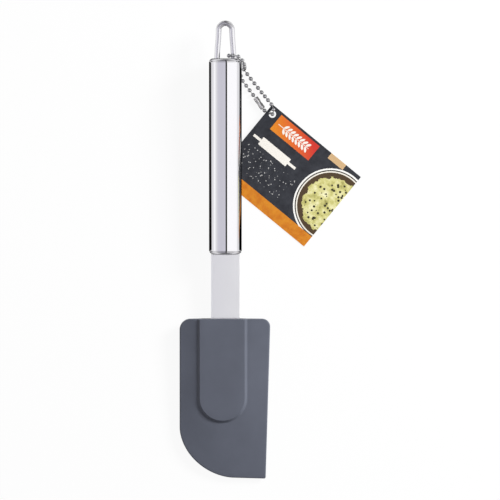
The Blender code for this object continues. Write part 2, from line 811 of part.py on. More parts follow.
def centre_on_table(frame, parts):
    """Move the frame so that the origin is on the table under the middle of the model's box."""
    bpy.context.view_layer.update()
    graph = bpy.context.evaluated_depsgraph_get()
    corners = []
    for obj in parts.objects:
        if obj.type == "EMPTY":
            continue
        shape = obj.evaluated_get(graph)
        mesh = shape.to_mesh()
        flat = np.empty(len(mesh.vertices) * 3)
        mesh.vertices.foreach_get("co", flat)
        turn = np.array(shape.matrix_world)
        world = flat.reshape(-1, 3) @ turn[:3, :3].T + turn[:3, 3]
        corners += [world.min(axis=0), world.max(axis=0)]
        shape.to_mesh_clear()
    low = np.min(corners, axis=0)
    high = np.max(corners, axis=0)
    frame.location = (-(low[0] + high[0]) / 2, -(low[1] + high[1]) / 2, -low[2])
    bpy.context.view_layer.update()


def build():
    """Build every piece of the dough cutter."""
    clear_scene()
    parts = new_collection("dough_cutter")
    tools = new_collection("cutters")

    steel = new_material("polished_stainless_steel", (0.62, 0.62, 0.64), 0.18, 1.0)
    plated = new_material("nickel_plated_chain", (0.70, 0.69, 0.66), 0.25, 1.0)
    silicone = new_material("slate_blue_silicone", (0.115, 0.125, 0.152), 0.55, 0.0)
    nylon = new_material("black_nylon", (0.02, 0.02, 0.02), 0.5, 0.0)
    paper = new_material("printed_card", (0.045, 0.045, 0.055), 0.45, 0.0)

    frame = new_empty("table_frame", parts)
    cutter = new_empty("cutter_frame", parts, frame, (0, 0, AXIS_HEIGHT), (TILT, 0, 0))
    pull = new_empty("head_pull", parts, cutter)
    chain_swing = new_empty("chain_swing", parts, frame, hanger_point(0))
    tag_swing = new_empty("tag_swing", parts, chain_swing)
    tag_swing.location = Vector((HOLE_X, HOLE_Y, TAG_THICKNESS / 2)) - chain_swing.location

    build_tube(parts, cutter, steel)
    build_bottom_cap(parts, tools, cutter, steel)
    build_top_cap(parts, tools, cutter, steel)
    build_loop(parts, cutter, steel)
    build_bar(parts, tools, cutter, steel)
    build_core(parts, tools, cutter, nylon)
    build_blade(parts, tools, pull, silicone)
    build_hanger(parts, frame, plated)
    front = [shoulder_route(), front_route(), under_card_route()]
    build_strand("chain_front", front, parts, chain_swing, plated)
    build_strand("chain_back", [drop_route(), back_route()], parts, chain_swing, plated)
    build_connector(parts, tools, chain_swing, plated)
    build_tag(parts, tag_swing, paper)
    centre_on_table(frame, parts)


build()
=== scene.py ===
# %% [markdown]
# # A dough cutter, dressed for its picture
# The tool is a pastry cook's dough cutter: a soft blade of silicone on a flat steel bar, a round
# steel handle with a wire loop to hang it by, and a printed card tag on a short bead chain. A
# measured model of it holds every size, body and joint. This lesson loads that model as a fixed
# frame and gives each piece its finished skin and its material.

# %% Load the measured model
import math

import bmesh
import bpy
import numpy as np
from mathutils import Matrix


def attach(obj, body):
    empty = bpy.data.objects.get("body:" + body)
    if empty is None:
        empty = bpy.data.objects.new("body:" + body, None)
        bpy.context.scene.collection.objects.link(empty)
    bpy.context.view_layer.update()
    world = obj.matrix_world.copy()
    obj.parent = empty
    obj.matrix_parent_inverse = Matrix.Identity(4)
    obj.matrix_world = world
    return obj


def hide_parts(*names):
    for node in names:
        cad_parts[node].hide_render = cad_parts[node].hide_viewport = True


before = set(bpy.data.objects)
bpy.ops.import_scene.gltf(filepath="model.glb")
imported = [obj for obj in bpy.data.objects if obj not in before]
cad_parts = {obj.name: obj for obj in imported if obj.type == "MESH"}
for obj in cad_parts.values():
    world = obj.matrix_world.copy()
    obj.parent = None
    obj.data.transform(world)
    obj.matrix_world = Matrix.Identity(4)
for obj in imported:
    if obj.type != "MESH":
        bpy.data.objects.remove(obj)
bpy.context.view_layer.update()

print("nodes:", sorted(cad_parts))

# %% [markdown]
# ## Two frames of reference
# The card and the chain lie on the table, so they are drawn in the table's frame. The cutter is
# tipped by about three degrees, because it rests on the rim of its thick handle and on the end
# of its thinner socket. Drawing it in its own level frame keeps every formula simple, and one
# function then tips and moves the finished points.

# %% The cutter's frame and the table's frame
TILT = math.radians(3.0216)
AXIS_HEIGHT = 0.00966
AXIS_X = -0.026962
AXIS_Y = -0.002377


def rotate(x, y, angle):
    """Turn x and y in their plane: x cos a - y sin a and x sin a + y cos a."""
    return x * math.cos(angle) - y * math.sin(angle), x * math.sin(angle) + y * math.cos(angle)


def on_table(points):
    """Move points measured from the handle's axis and lower end to the model's origin."""
    return np.asarray(points, float) + (AXIS_X, AXIS_Y, 0)


def on_cutter(points):
    """Turn points about X by the tilt, lift them to the axis height, then move them as above."""
    x, y, z = np.moveaxis(np.asarray(points, float), -1, 0)
    along, up = rotate(y, z, TILT)
    return on_table(np.stack([x, along, up + AXIS_HEIGHT], axis=-1))


print("handle axis in the model:", on_cutter([[0, 0, 0], [0, 0.1173, 0]]).round(4).tolist())

# %% [markdown]
# ## The camera
# The photograph looks straight down, with the handle upright in the picture, and its edges show
# no perspective. A very long lens from four metres gives that flat look and still counts as a
# real camera. The frame is 300 mm wide, because the picture's scale is 0.6 mm to the pixel.

# %% Camera
VIEW_WIDTH = 0.300
CAMERA_DISTANCE = 4.0
VIEW_CENTRE = (-0.012202, 0.000023)
LOOK_HEIGHT = 0.008


def stand(name, data):
    """Put a new object with its data into the scene."""
    made = bpy.data.objects.new(name, data)
    bpy.context.scene.collection.objects.link(made)
    return made


camera = stand("camera", bpy.data.cameras.new("camera"))
camera.data.sensor_width = 36
camera.data.lens = camera.data.sensor_width * CAMERA_DISTANCE / VIEW_WIDTH
camera.data.clip_end = 50
camera.location = (*VIEW_CENTRE, LOOK_HEIGHT + CAMERA_DISTANCE)
bpy.context.scene.camera = camera
bpy.context.scene.view_settings.view_transform = "Standard"
print("lens, mm:", camera.data.lens)

# %% [markdown]
# ## A helper for materials
# Every material here is a small network of nodes. One function adds a node with its settings and
# fills its inputs, with values or with links from other nodes. Colours are written as the hex
# values that a paint chart gives, so one function turns those to the linear light that Blender
# mixes.

# %% Colours and nodes
def linear(hex_colour):
    """The sRGB curve undone for each channel: c / 12.92 when dark, ((c + 0.055) / 1.055) ** 2.4."""
    channels = np.array([int(hex_colour[i:i + 2], 16) / 255 for i in (1, 3, 5)])
    low = channels / 12.92
    high = ((channels + 0.055) / 1.055) ** 2.4
    return (*np.where(channels <= 0.04045, low, high).tolist(), 1.0)


def fill(made, inputs):
    """Fill a node's inputs, by number or name, with values, or with links from nodes or sockets."""
    for key, value in inputs.items():
        if isinstance(value, bpy.types.Node):
            value = value.outputs[0]
        if isinstance(value, bpy.types.NodeSocket):
            made.id_data.links.new(value, made.inputs[key])
        else:
            made.inputs[key].default_value = value
    return made


def add(tree, kind, *inputs, stops=(), **settings):
    """Add one node with its settings. Its inputs come in order, or as one dictionary by name.

    The stops of a Color Ramp are places from 0 to 1, each with a hex or linear colour.
    """
    made = tree.nodes.new("ShaderNode" + kind)
    for key, value in settings.items():
        setattr(made, key, value)
    if stops:
        stops = [(place, linear(c) if isinstance(c, str) else c) for place, c in stops]
        band = made.color_ramp.elements
        for place, colour in stops[1:-1]:
            band.new(place).color = colour
        band[0].position, band[0].color = stops[0]
        band[-1].position, band[-1].color = stops[-1]
    by_name = bool(inputs) and isinstance(inputs[0], dict)
    return fill(made, inputs[0] if by_name else dict(enumerate(inputs)))


def new_material(name):
    """An empty material with its Principled shader."""
    material = bpy.data.materials.new(name)
    material.use_nodes = True
    tree = material.node_tree
    return material, tree, tree.nodes["Principled BSDF"]


print("mid grey in linear light:", round(linear("#808080")[0], 3))

# %% [markdown]
# ## A studio of long strips
# Polished steel shows nothing but its surroundings, so the lighting is the look. In the picture
# the tube carries bands along its whole length: a pale one at the left, a broad grey one, a thin
# dark line, and a broad white one. A mirror cylinder seen from above shows the direction at twice
# the slope of its surface, so each band is a strip of the studio that runs parallel to the
# handle. The strips are painted by angle in the world: grey overhead, a narrow unlit gap beside
# it, the big key light on the right and a white screen on the left. They are only as long as
# real softboxes, so the studio's far ends are nearly dark for matt surfaces. Steel would turn
# black there when it is seen from the side, so in mirrored rays the ends keep two fifths of the
# light and only their tips are black. The rounded ends of the handle and the small balls of the
# chain mirror those ends, and get their dark accents from them.

# %% World
def strip(angle, level, tint=(1.0, 1.0, 1.0)):
    """A stop at an angle from straight up, in degrees, positive towards the right-hand side."""
    place = (math.radians(angle) / math.pi + 1) / 2
    return place, (*[level * channel for channel in tint], 1.0)


COOL = (0.99, 0.98, 1.07)
WARM = (1.0, 0.998, 0.99)
STRIPS = [
    strip(-180, 0.6), strip(-100, 1.24), strip(-80, 1.24), strip(-68, 0.97),
    strip(-52, 0.78, COOL), strip(-30, 0.75, COOL), strip(1, 0.77, COOL), strip(2.5, 0.02),
    strip(11.5, 0.02), strip(13.5, 1.28, WARM), strip(100, 1.28, WARM), strip(180, 0.6),
]
STRIP_END = 0.18
DIM_FROM = 0.28
DIM_SHARE = 0.07
DIM_MIRRORED = 0.42
BLACK_FROM = 0.90
BLACK_FULL = 0.95
BLACK_SHARE = 0.10

world = bpy.data.worlds.new("studio")
bpy.context.scene.world = world
world.use_nodes = True
tree = world.node_tree
parts = add(tree, "SeparateXYZ", add(tree, "TexCoord").outputs["Generated"]).outputs
angle = add(tree, "Math", parts["X"], parts["Z"], operation="ARCTAN2")
place = add(tree, "MapRange", angle, -math.pi, math.pi)
away = add(tree, "Math", parts["Y"], operation="ABSOLUTE")
mirrored = add(tree, "LightPath").outputs["Is Glossy Ray"]
far_end = add(tree, "Math", mirrored, DIM_MIRRORED - DIM_SHARE, DIM_SHARE,
              operation="MULTIPLY_ADD")
lit = add(tree, "MapRange", away, STRIP_END, DIM_FROM, 1.0, far_end)
tip = add(tree, "MapRange", away, BLACK_FROM, BLACK_FULL, 1.0, BLACK_SHARE)
fill(tree.nodes["Background"], {
    "Color": add(tree, "ValToRGB", place, stops=STRIPS),
    "Strength": add(tree, "Math", lit, tip, operation="MULTIPLY"),
})
print("strips in the studio:", len(STRIPS))

# %% [markdown]
# ## The key light
# One softbox does most of the lighting of everything that isn't metal. The right side of the
# blade is brighter than the left and the socket's left wall is in shade, so the light stands at
# the upper right, and the socket's shade is about as wide as a light 31 degrees high makes it.
# A lamp of power P at distance d lights a level surface to P sin(height) / (pi d^2), and a
# surface shows its colour as written when it gets pi, so the power is worked out from the share
# of the light that the lamp has to give. Steel mirrors the bright strip at the right, which is
# this softbox's picture already, so the lamp itself is kept out of mirrored rays.

# %% Key light
KEY_DISTANCE = 1.2
KEY_SIZE = 0.40
KEY_HEIGHT = math.radians(31)
KEY_BEARING = math.radians(31)
KEY_SHARE = 0.855

key_light = bpy.data.lights.new("key_softbox", "AREA")
key_light.size = KEY_SIZE
key_light.energy = KEY_SHARE * math.pi ** 2 * KEY_DISTANCE ** 2 / math.sin(KEY_HEIGHT)
key_lamp = stand("key_softbox", key_light)
key_lamp.location = (
    KEY_DISTANCE * math.cos(KEY_HEIGHT) * math.cos(KEY_BEARING),
    KEY_DISTANCE * math.cos(KEY_HEIGHT) * math.sin(KEY_BEARING),
    KEY_DISTANCE * math.sin(KEY_HEIGHT),
)
key_lamp.rotation_euler = key_lamp.location.to_track_quat("Z", "Y").to_euler()
key_lamp.visible_camera = False
key_lamp.visible_glossy = False
print("key light, watts:", round(key_light.energy, 1))

# %% [markdown]
# ## The floor
# The ground is pure white. Most of that white comes from Light Path: where the camera looks at
# the floor, a glow is mixed in, and the rest is a plain pale surface that keeps a soft shadow
# under the tool. Steel and clear surfaces see the glow alone, but in mirrored rays a long band at
# both sides of the handle is dark, and so is a patch beyond its upper end. This is painted shade
# on the floor: it stands in for the shade beside the tool, and steel mirrors it as dark rims on
# the polished tube. Each is a distance on the floor, eased at its border, and no ray from the
# camera shows them.

# %% Floor
FLOOR_SIZE = 12.0

floor_points = [[sx * FLOOR_SIZE / 2, sy * FLOOR_SIZE / 2, 0] for sx, sy in
                ((-1, -1), (1, -1), (1, 1), (-1, 1))]
floor_mesh = bpy.data.meshes.new("floor")
floor_mesh.from_pydata(floor_points, [], [(0, 1, 2, 3)])
floor = stand("floor", floor_mesh)
print("floor, m across:", FLOOR_SIZE)

# %% Pale table with painted shade in mirrored rays
FLOOR_GLOW = 0.93
BAND_MIDDLE = 0.0565
BAND_REACH = 0.0590
BAND_START = 0.0112
BAND_FULL = 0.034
BAND_END = 0.052
PATCH_MIDDLE = 0.175
PATCH_REACH = 0.045
PATCH_HALF = 0.012
SOFT = 0.0018


def apart(tree, part, middle):
    """How far a point lies from a line, along one of its parts: |part - middle|."""
    away = add(tree, "Math", part, middle, operation="SUBTRACT")
    return add(tree, "Math", away, operation="ABSOLUTE")


material, tree, shader = new_material("pale_table")
fill(shader, {"Base Color": linear("#F2F2F2"), "Roughness": 0.9})
path = add(tree, "LightPath").outputs
seen = add(tree, "Math", path["Is Camera Ray"], FLOOR_GLOW, operation="MULTIPLY")
mirrored = add(tree, "Math", path["Is Glossy Ray"], path["Is Transmission Ray"],
               operation="MAXIMUM")
share = add(tree, "Math", seen, mirrored, operation="ADD")

# Painted shade: the band beside the handle and the patch beyond its upper end take the glow down in
# mirrored rays only.
spot = add(tree, "SeparateXYZ", add(tree, "TexCoord").outputs["Object"]).outputs
beside = apart(tree, spot["X"], AXIS_X)
along = apart(tree, spot["Y"], BAND_MIDDLE)
ahead = apart(tree, spot["Y"], PATCH_MIDDLE)
begins = add(tree, "MapRange", beside, BAND_START - SOFT, BAND_START)
fades = add(tree, "MapRange", beside, BAND_FULL, BAND_END, 1.0, 0.0)
ends = add(tree, "MapRange", along, BAND_REACH - SOFT, BAND_REACH, 1.0, 0.0)
narrow = add(tree, "MapRange", beside, PATCH_HALF - SOFT, PATCH_HALF, 1.0, 0.0)
short = add(tree, "MapRange", ahead, PATCH_REACH - SOFT, PATCH_REACH, 1.0, 0.0)
band = add(tree, "Math", add(tree, "Math", begins, fades, operation="MULTIPLY"), ends,
           operation="MULTIPLY")
painted_shade_patch = add(tree, "Math", narrow, short, operation="MULTIPLY")
# Painted shade in mirrored rays: where the band or the patch lies, steel sees a dark floor.
dark = add(tree, "Math", add(tree, "Math", band, painted_shade_patch, operation="MAXIMUM"), mirrored,
           operation="MULTIPLY")
kept = add(tree, "Math", 1.0, dark, operation="SUBTRACT")
glow = add(tree, "Emission", (1, 1, 1, 1), kept)
mixed = add(tree, "MixShader", share, shader, glow)
fill(tree.nodes["Material Output"], {"Surface": mixed})
floor_mesh.materials.append(material)
print("floor glow, seen and dark band, mm:", FLOOR_GLOW, BAND_START * 1000, BAND_END * 1000)

# %% [markdown]
# ## A helper for surfaces
# Every new piece is a grid of points worked out from two numbers, such as how far along and how
# far round, written as whole arrays. Where lines of the grid meet in a point, or two sheets share
# an edge, the doubles are merged, which closes the skin, and then all faces are turned outwards.

# %% Grids made into pieces
WELD = 2e-7


def squares(rows, columns, close_rows=False, close_columns=False):
    """Corner numbers of the squares between neighbouring points of a grid, row by row."""
    i = np.arange(rows if close_rows else rows - 1)[:, None]
    j = np.arange(columns if close_columns else columns - 1)[None, :]
    after_i, after_j = (i + 1) % rows, (j + 1) % columns
    corners = [i * columns + j, after_i * columns + j,
               after_i * columns + after_j, i * columns + after_j]
    return np.stack(corners, axis=-1).reshape(-1, 4)


def skin(name, sheets, sharp=35):
    """Join sheets, each a grid of points with its closed directions, into one smooth skin."""
    points, faces, first = [], [], 0
    for grid, close_rows, close_columns in sheets:
        rows, columns = grid.shape[:2]
        points.append(grid.reshape(-1, 3))
        faces.append(squares(rows, columns, close_rows, close_columns) + first)
        first += rows * columns
    mesh = bpy.data.meshes.new(name)
    mesh.from_pydata(np.vstack(points).tolist(), [], np.vstack(faces).tolist())
    weld = bmesh.new()
    weld.from_mesh(mesh)
    bmesh.ops.remove_doubles(weld, verts=weld.verts, dist=WELD)
    bmesh.ops.recalc_face_normals(weld, faces=weld.faces)
    open_edges = sum(not edge.is_manifold for edge in weld.edges)
    weld.to_mesh(mesh)
    weld.free()
    mesh.shade_smooth()
    mesh.set_sharp_from_angle(angle=math.radians(sharp))
    piece = stand(name, mesh)
    print(name, "faces:", len(mesh.polygons), "open edges:", open_edges)
    return piece


print("squares in a 3 x 4 grid:", len(squares(3, 4)))

# %% Dressing a piece, arcs and turned profiles
def dress(piece, material, body, slot, *nodes):
    """Give a piece its material and its body, and hide the measured solids that it stands for; its
    slot is not used.
    """
    piece.data.materials.append(material)
    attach(piece, body)
    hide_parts(*nodes)


def arc(radius, start, end, steps, centre=(0.0, 0.0)):
    """Points on a circle's arc: centre + radius * (cos, sin) of evenly spaced angles in degrees."""
    turn = np.radians(np.linspace(start, end, steps + 1))
    return np.stack([centre[0] + radius * np.cos(turn), centre[1] + radius * np.sin(turn)], axis=1)


def turned(profile, steps):
    """Carry (radius, height) points round the axis: x = r sin a, y = height, z = r cos a."""
    turn = np.linspace(0, math.tau, steps, endpoint=False)[:, None]
    radius, height = np.asarray(profile, float).T
    x, z = radius * np.sin(turn), radius * np.cos(turn)
    return np.stack([x, np.broadcast_to(height, x.shape), z], axis=-1)


print("a quarter arc in two steps:", arc(1, 0, 90, 2).round(3).tolist())

# %% [markdown]
# ## Polished stainless steel
# The handle, its caps, the loop and the bar are common kitchen stainless, ground with ever finer
# belts and then buffed. It is a plain metal: full metallic, a light neutral colour, and little
# roughness. The last belt leaves hair-fine lines along the handle, about a fifth of a millimetre
# apart, and the buffing leaves soft patches, so both steer the roughness a little. Real steel
# loses some shine where its edge turns away, which the tint at grazing angles gives. The bar is
# ground and not buffed, so its gloss is stretched across the belt's lines.

# %% Stainless steel
BELT_LINES = (5000, 25, 5000)


def stainless(name, colour, roughness, line_depth, rim, along_grain=0.0):
    """Steel of a colour and mean roughness, its polishing lines that deep, its rim tinted."""
    material, tree, shader = new_material(name)
    where = add(tree, "TexCoord").outputs["Object"]
    grain = add(tree, "Mapping", {"Vector": where, "Scale": BELT_LINES})
    lines = add(tree, "TexNoise", {"Vector": grain, "Scale": 1.0, "Detail": 2.0})
    clouds = add(tree, "TexNoise", {"Vector": where, "Scale": 60.0, "Detail": 3.0})
    both = add(tree, "Math", lines, clouds, operation="ADD")
    dull = (*[channel * 0.985 for channel in linear(colour)[:3]], 1.0)
    fill(shader, {
        "Base Color": add(tree, "ValToRGB", clouds, stops=[(0.3, dull), (0.7, colour)]),
        "Roughness": add(tree, "MapRange", both, 0.6, 1.4, roughness * 0.8, roughness * 1.2),
        "Normal": add(tree, "Bump", {"Height": lines, "Strength": 1.0, "Distance": line_depth}),
        "Tangent": add(tree, "Tangent", direction_type="RADIAL", axis="Y"),
        "Metallic": 1.0, "Specular Tint": (rim, rim, rim, 1.0), "Anisotropic": along_grain,
    })
    return material


tube_steel = stainless("buffed_stainless_steel", "#E2E1E5", 0.05, 1e-7, 0.0)
# Painted light: the bar's steel is written near white, lighter than the tube's, so the bar shows
# brighter than its lighting alone makes it.
brightened_bar_steel = stainless("ground_stainless_steel", "#FAFAFC", 0.38, 4e-7, 0.8, 0.95)
wire_steel = stainless("drawn_stainless_wire", "#E2E1E5", 0.20, 2e-7, 0.6)
print("steels:", tube_steel.name, brightened_bar_steel.name, wire_steel.name)

# %% [markdown]
# ## The handle tube
# The tube is drawn stainless, its ends pressed in very slightly where the caps' rounding begins.
# A cylinder with flat sides would break every reflection into facets, so this is a turned profile
# with many steps round and smooth normals. The profile is a closed loop: outer skin, both ends
# with a small rounded lip, and the bore.

# %% Handle tube
TUBE_RADIUS = 0.009796
BORE_RADIUS = 0.0090
HANDLE_LENGTH = 0.1173
END_ROUND = 0.0024
CAP_RIM = 0.0015
SEAM = 0.0003
LIP = 0.00012
ROUND_STEPS = 192


def shoulder(height):
    """Radius at a height on the end's rounding: R - r + sqrt(r^2 - (r - height)^2)."""
    return TUBE_RADIUS - END_ROUND + np.sqrt(END_ROUND ** 2 - (END_ROUND - height) ** 2)


tube_start = CAP_RIM + SEAM
rise = np.linspace(tube_start + LIP, END_ROUND, 6)
lip = arc(LIP, -90, 0, 4, (shoulder(tube_start) - LIP, tube_start + LIP))
lower_end = np.vstack([lip[:-1], np.stack([shoulder(rise), rise], axis=1)])
upper_end = lower_end[::-1] * (1, -1) + (0, HANDLE_LENGTH)
tube_profile = np.vstack([
    [(BORE_RADIUS, tube_start)], lower_end, [(TUBE_RADIUS, END_ROUND + 0.002)],
    [(TUBE_RADIUS, HANDLE_LENGTH - END_ROUND - 0.002)], upper_end,
    [(BORE_RADIUS, HANDLE_LENGTH - tube_start)],
])
tube = skin("tube_skin", [(on_cutter(turned(tube_profile, ROUND_STEPS)), True, True)])
dress(tube, tube_steel, "handle", "steel", "handle_tube")

# %% [markdown]
# ## The end caps
# Each cap is a pressed disc that closes the tube, with a rounded rim that carries on the tube's
# own rounding and a short sleeve in the bore. A bevelled disc would do, but a turned profile
# takes the exact radius of the tube's end. The joint shows in the picture as a fine line near
# each end, so the cap's edge has its own small lip.

# %% End caps
SLEEVE_RADIUS = 0.0088
SLEEVE_BORE = 0.0076
SLEEVE_DEPTH = 0.0095
PLATE_DEPTH = 0.0030
cap_round = arc(END_ROUND, -np.degrees(np.arcsin(1 - (CAP_RIM - LIP) / END_ROUND)), -90, 14,
                (TUBE_RADIUS - END_ROUND, END_ROUND))
cap_profile = np.vstack([
    [(0, PLATE_DEPTH), (SLEEVE_BORE, PLATE_DEPTH), (SLEEVE_BORE, SLEEVE_DEPTH),
     (SLEEVE_RADIUS, SLEEVE_DEPTH), (SLEEVE_RADIUS, CAP_RIM)],
    [(cap_round[0, 0] - 2 * LIP, CAP_RIM), (cap_round[0, 0] - 0.3 * LIP, CAP_RIM - 0.3 * LIP)],
    cap_round, [(0, 0)],
])
flipped = cap_profile[::-1] * (1, -1) + (0, HANDLE_LENGTH)
for name, profile, node in (
    ("lower_cap_skin", cap_profile, "bottom_cap"), ("upper_cap_skin", flipped, "top_cap"),
):
    cap = skin(name, [(on_cutter(turned(profile, ROUND_STEPS)), True, False)])
    dress(cap, tube_steel, "handle", "steel", node)

# %% [markdown]
# ## The hanging loop
# The loop is one piece of drawn wire, bent round a pin and welded into the upper cap. A curve
# with a depth would do, but a circle carried along the bend also closes both ends. The legs lean
# outwards a little towards the cap, so their distance from the middle eases from the crown's to
# the foot's instead of meeting at a corner.

# %% Hanging loop
WIRE_RADIUS = 0.00165
FOOT_HALF = 0.0049
CROWN_HALF = 0.0040
LOOP_TOP = HANDLE_LENGTH + 0.0226
CROWN_Y = LOOP_TOP - WIRE_RADIUS - CROWN_HALF


def unit(vectors):
    """Vectors brought to length one: v / |v|."""
    return vectors / np.linalg.norm(vectors, axis=-1, keepdims=True)


def carried(path, sides, radius, reference=(0.82, 0.57, 0.1)):
    """Circles set square to a path: p + r (n cos a + b sin a), closed to a point at both ends."""
    path = np.asarray(path, float)
    radius = np.broadcast_to(np.asarray(radius, float), len(path))
    along = unit(np.gradient(path, axis=0))
    normal = unit(np.cross(along, reference))
    binormal = np.cross(along, normal)
    turn = np.linspace(0, math.tau, sides, endpoint=False)[None, :, None]
    ring = normal[:, None] * np.cos(turn) + binormal[:, None] * np.sin(turn)
    rings = path[:, None] + radius[:, None, None] * ring
    ends = [np.repeat(path[i][None, None], sides, axis=1) for i in (0, -1)]
    return np.concatenate([ends[0], rings, ends[1]])


leg_y = np.linspace(HANDLE_LENGTH - 0.0015, CROWN_Y, 18)
ease = np.clip((leg_y - HANDLE_LENGTH) / (CROWN_Y - HANDLE_LENGTH), 0, 1)
leg_x = FOOT_HALF + (CROWN_HALF - FOOT_HALF) * ease ** 2 * (3 - 2 * ease)
right_leg = np.stack([leg_x, leg_y], axis=1)
crown = arc(CROWN_HALF, 0, 180, 36, (0, CROWN_Y))
loop_line = np.vstack([right_leg, crown[1:-1], (right_leg * (-1, 1))[::-1]])
loop_path = np.column_stack([loop_line, np.zeros(len(loop_line))])
loop = skin("loop_wire", [(on_cutter(carried(loop_path, 32, WIRE_RADIUS, (0, 0, 1))), False, True)])
dress(loop, wire_steel, "handle", "steel", "hanging_loop")

# %% [markdown]
# ## The flat bar
# The bar is cut from flat stock and its long edges are broken with a file, which leaves a narrow
# rounding that catches the light. Its section, a rectangle with rounded corners, is carried down
# from the lower cap into the blade. What stays inside the cap and the core isn't seen from
# outside, so the piece is plain there.

# %% Flat bar
BAR_HALF_WIDTH = 0.00865
BAR_HALF_THICKNESS = 0.0010
BAR_EDGE = 0.00035
BAR_TOP = -0.0002
BAR_END = -0.0869

corner_at = (BAR_HALF_WIDTH - BAR_EDGE, BAR_HALF_THICKNESS - BAR_EDGE)
section = np.vstack([
    arc(BAR_EDGE, start, start + 90, 5, (sx * corner_at[0], sz * corner_at[1]))
    for start, sx, sz in ((0, 1, 1), (90, -1, 1), (180, -1, -1), (270, 1, -1))
])
stations = np.array([BAR_TOP, BAR_TOP - 0.0005, -0.020, BAR_END + 0.0005, BAR_END])
bar_grid = np.empty((len(stations), len(section), 3))
bar_grid[..., 0], bar_grid[..., 2] = section[:, 0], section[:, 1]
bar_grid[..., 1] = stations[:, None]
bar_ends = bar_grid[[0, -1]] * (0, 1, 0)
bar_grid = np.concatenate([bar_ends[:1], bar_grid, bar_ends[1:]])
bar = skin("bar_skin", [(on_cutter(bar_grid), False, True)], sharp=40)
dress(bar, brightened_bar_steel, "handle", "steel", "flat_bar")

# %% [markdown]
# ## Moulded silicone
# The head is platinum-cured silicone rubber, pressed in a steel mould that was lightly blasted,
# so its skin is matt with a soft sheen. Silicone bends light less than most plastics, and its
# pigment is a slate blue-grey. The blasting leaves a pebbled texture finer than a fifth of a
# millimetre, drawn here about twice as coarse so that it shows, and the colour drifts slightly
# over a few centimetres, as filled rubber does.

# %% Silicone
silicone, tree, shader = new_material("moulded_silicone_rubber")
where = add(tree, "TexCoord").outputs["Object"]
drift = add(tree, "TexNoise", {"Vector": where, "Scale": 45.0, "Detail": 3.0})
pebble = add(tree, "TexNoise", {"Vector": where, "Scale": 2500.0, "Detail": 2.0})
fill(shader, {
    "Base Color": add(tree, "ValToRGB", drift, stops=[(0.30, "#595D68"), (0.70, "#606470")]),
    "Roughness": add(tree, "MapRange", pebble, 0.0, 1.0, 0.42, 0.58),
    "Normal": add(tree, "Bump", {"Height": pebble, "Strength": 0.6, "Distance": 0.00003}),
    "IOR": 1.43,
})
print("silicone:", silicone.name)

# %% [markdown]
# ## The blade
# Seen from above, the blade is straight at the left, slanted a little at the right, and curved at
# its lower left to follow a bowl. It is thick in the middle, where a raised socket holds the bar,
# and thins towards its edges. One grid covers each face. Its lines run from the outer edge
# inwards: level rows beside the socket, and rays below it that meet at the centre of its round
# end. Along each line the points lie where the shape turns: the rounded edge, the foot of the
# socket's wall, the wall, its rim, and the face.

# %% Blade outline
HEAD_TOP = -0.0389
HEAD_BOTTOM = -0.1351
HEAD_LEFT = -0.0275
HEAD_RIGHT = 0.0270
HEEL_X = 0.0242
CORNER_LEFT = 0.0065
CORNER_RIGHT = 0.0048
HEEL_CORNER = 0.0010
BELLY = (0.0330, 0.0304)
BELLY_POWER = 2 / 1.85
BELLY_CENTRE = (HEAD_LEFT + BELLY[0], HEAD_BOTTOM + 0.0005 + BELLY[1])
SLANT = math.degrees(math.atan2(HEAD_RIGHT - HEEL_X, HEAD_TOP - HEAD_BOTTOM))
SOCKET_X = -0.0019
SOCKET_Y = -0.0864

right_reach = CORNER_RIGHT * math.tan(math.pi / 4 + math.radians(SLANT) / 2)
belly_turn = np.radians(np.linspace(180, 270, 400))
belly = np.stack([
    BELLY_CENTRE[0] - BELLY[0] * np.abs(np.cos(belly_turn)) ** BELLY_POWER,
    BELLY_CENTRE[1] - BELLY[1] * np.abs(np.sin(belly_turn)) ** BELLY_POWER,
], axis=1)
outline = np.vstack([
    arc(CORNER_LEFT, 90, 180, 60, (HEAD_LEFT + CORNER_LEFT, HEAD_TOP - CORNER_LEFT)),
    belly,
    arc(HEEL_CORNER, -90, -SLANT, 60, (HEEL_X - HEEL_CORNER, HEAD_BOTTOM + HEEL_CORNER)),
    arc(CORNER_RIGHT, -SLANT, 90, 60, (HEAD_RIGHT - right_reach, HEAD_TOP - CORNER_RIGHT)),
])
gaps = np.concatenate([[0], np.cumsum(np.linalg.norm(np.diff(outline, axis=0), axis=1))])
fine = np.linspace(0, gaps[-1], 12000)
outline = np.stack([np.interp(fine, gaps, outline[:, i]) for i in (0, 1)], axis=1)
print("blade outline, mm:", (outline.max(0) - outline.min(0)).round(4) * 1000)

# %% Lines of the blade's grid
TOP_LIP = 0.0004
arc_rows = HEAD_TOP - CORNER_LEFT * (1 - np.cos(np.radians(np.linspace(0, 90, 16))))
lip_turn = np.radians(np.linspace(0, 90, 6))
lip_rows = HEAD_TOP - TOP_LIP * (1 - np.cos(lip_turn))
level_rows = np.concatenate([
    lip_rows, arc_rows[arc_rows < HEAD_TOP - 1.1 * TOP_LIP],
    np.linspace(HEAD_TOP - CORNER_LEFT, SOCKET_Y, 24)[1:],
])
heel_ray = math.degrees(math.atan2(HEAD_BOTTOM - SOCKET_Y, HEEL_X - SOCKET_X)) % 360
rays = np.unique(np.concatenate([
    np.linspace(180, 360, 121), np.linspace(heel_ray - 1.6, heel_ray + 1.6, 25),
]).round(4))

left_side = outline[:, 0] < SOCKET_X
right_side = ~left_side & (outline[:, 1] > SOCKET_Y - 0.001)
left_side &= outline[:, 1] > SOCKET_Y - 0.001
left_edge = np.interp(-level_rows, -outline[left_side, 1], outline[left_side, 0])
right_edge = np.interp(level_rows, outline[right_side, 1], outline[right_side, 0])
away = outline - (SOCKET_X, SOCKET_Y)
bearing = np.degrees(np.arctan2(away[:, 1], away[:, 0])) % 360
below = (bearing >= 179) & (away[:, 1] < 0.001)
order = np.argsort(bearing[below])
reach = np.interp(rays, bearing[below][order], np.linalg.norm(away[below][order], axis=1))
ray_ways = np.stack([np.cos(np.radians(rays)), np.sin(np.radians(rays))], axis=1)

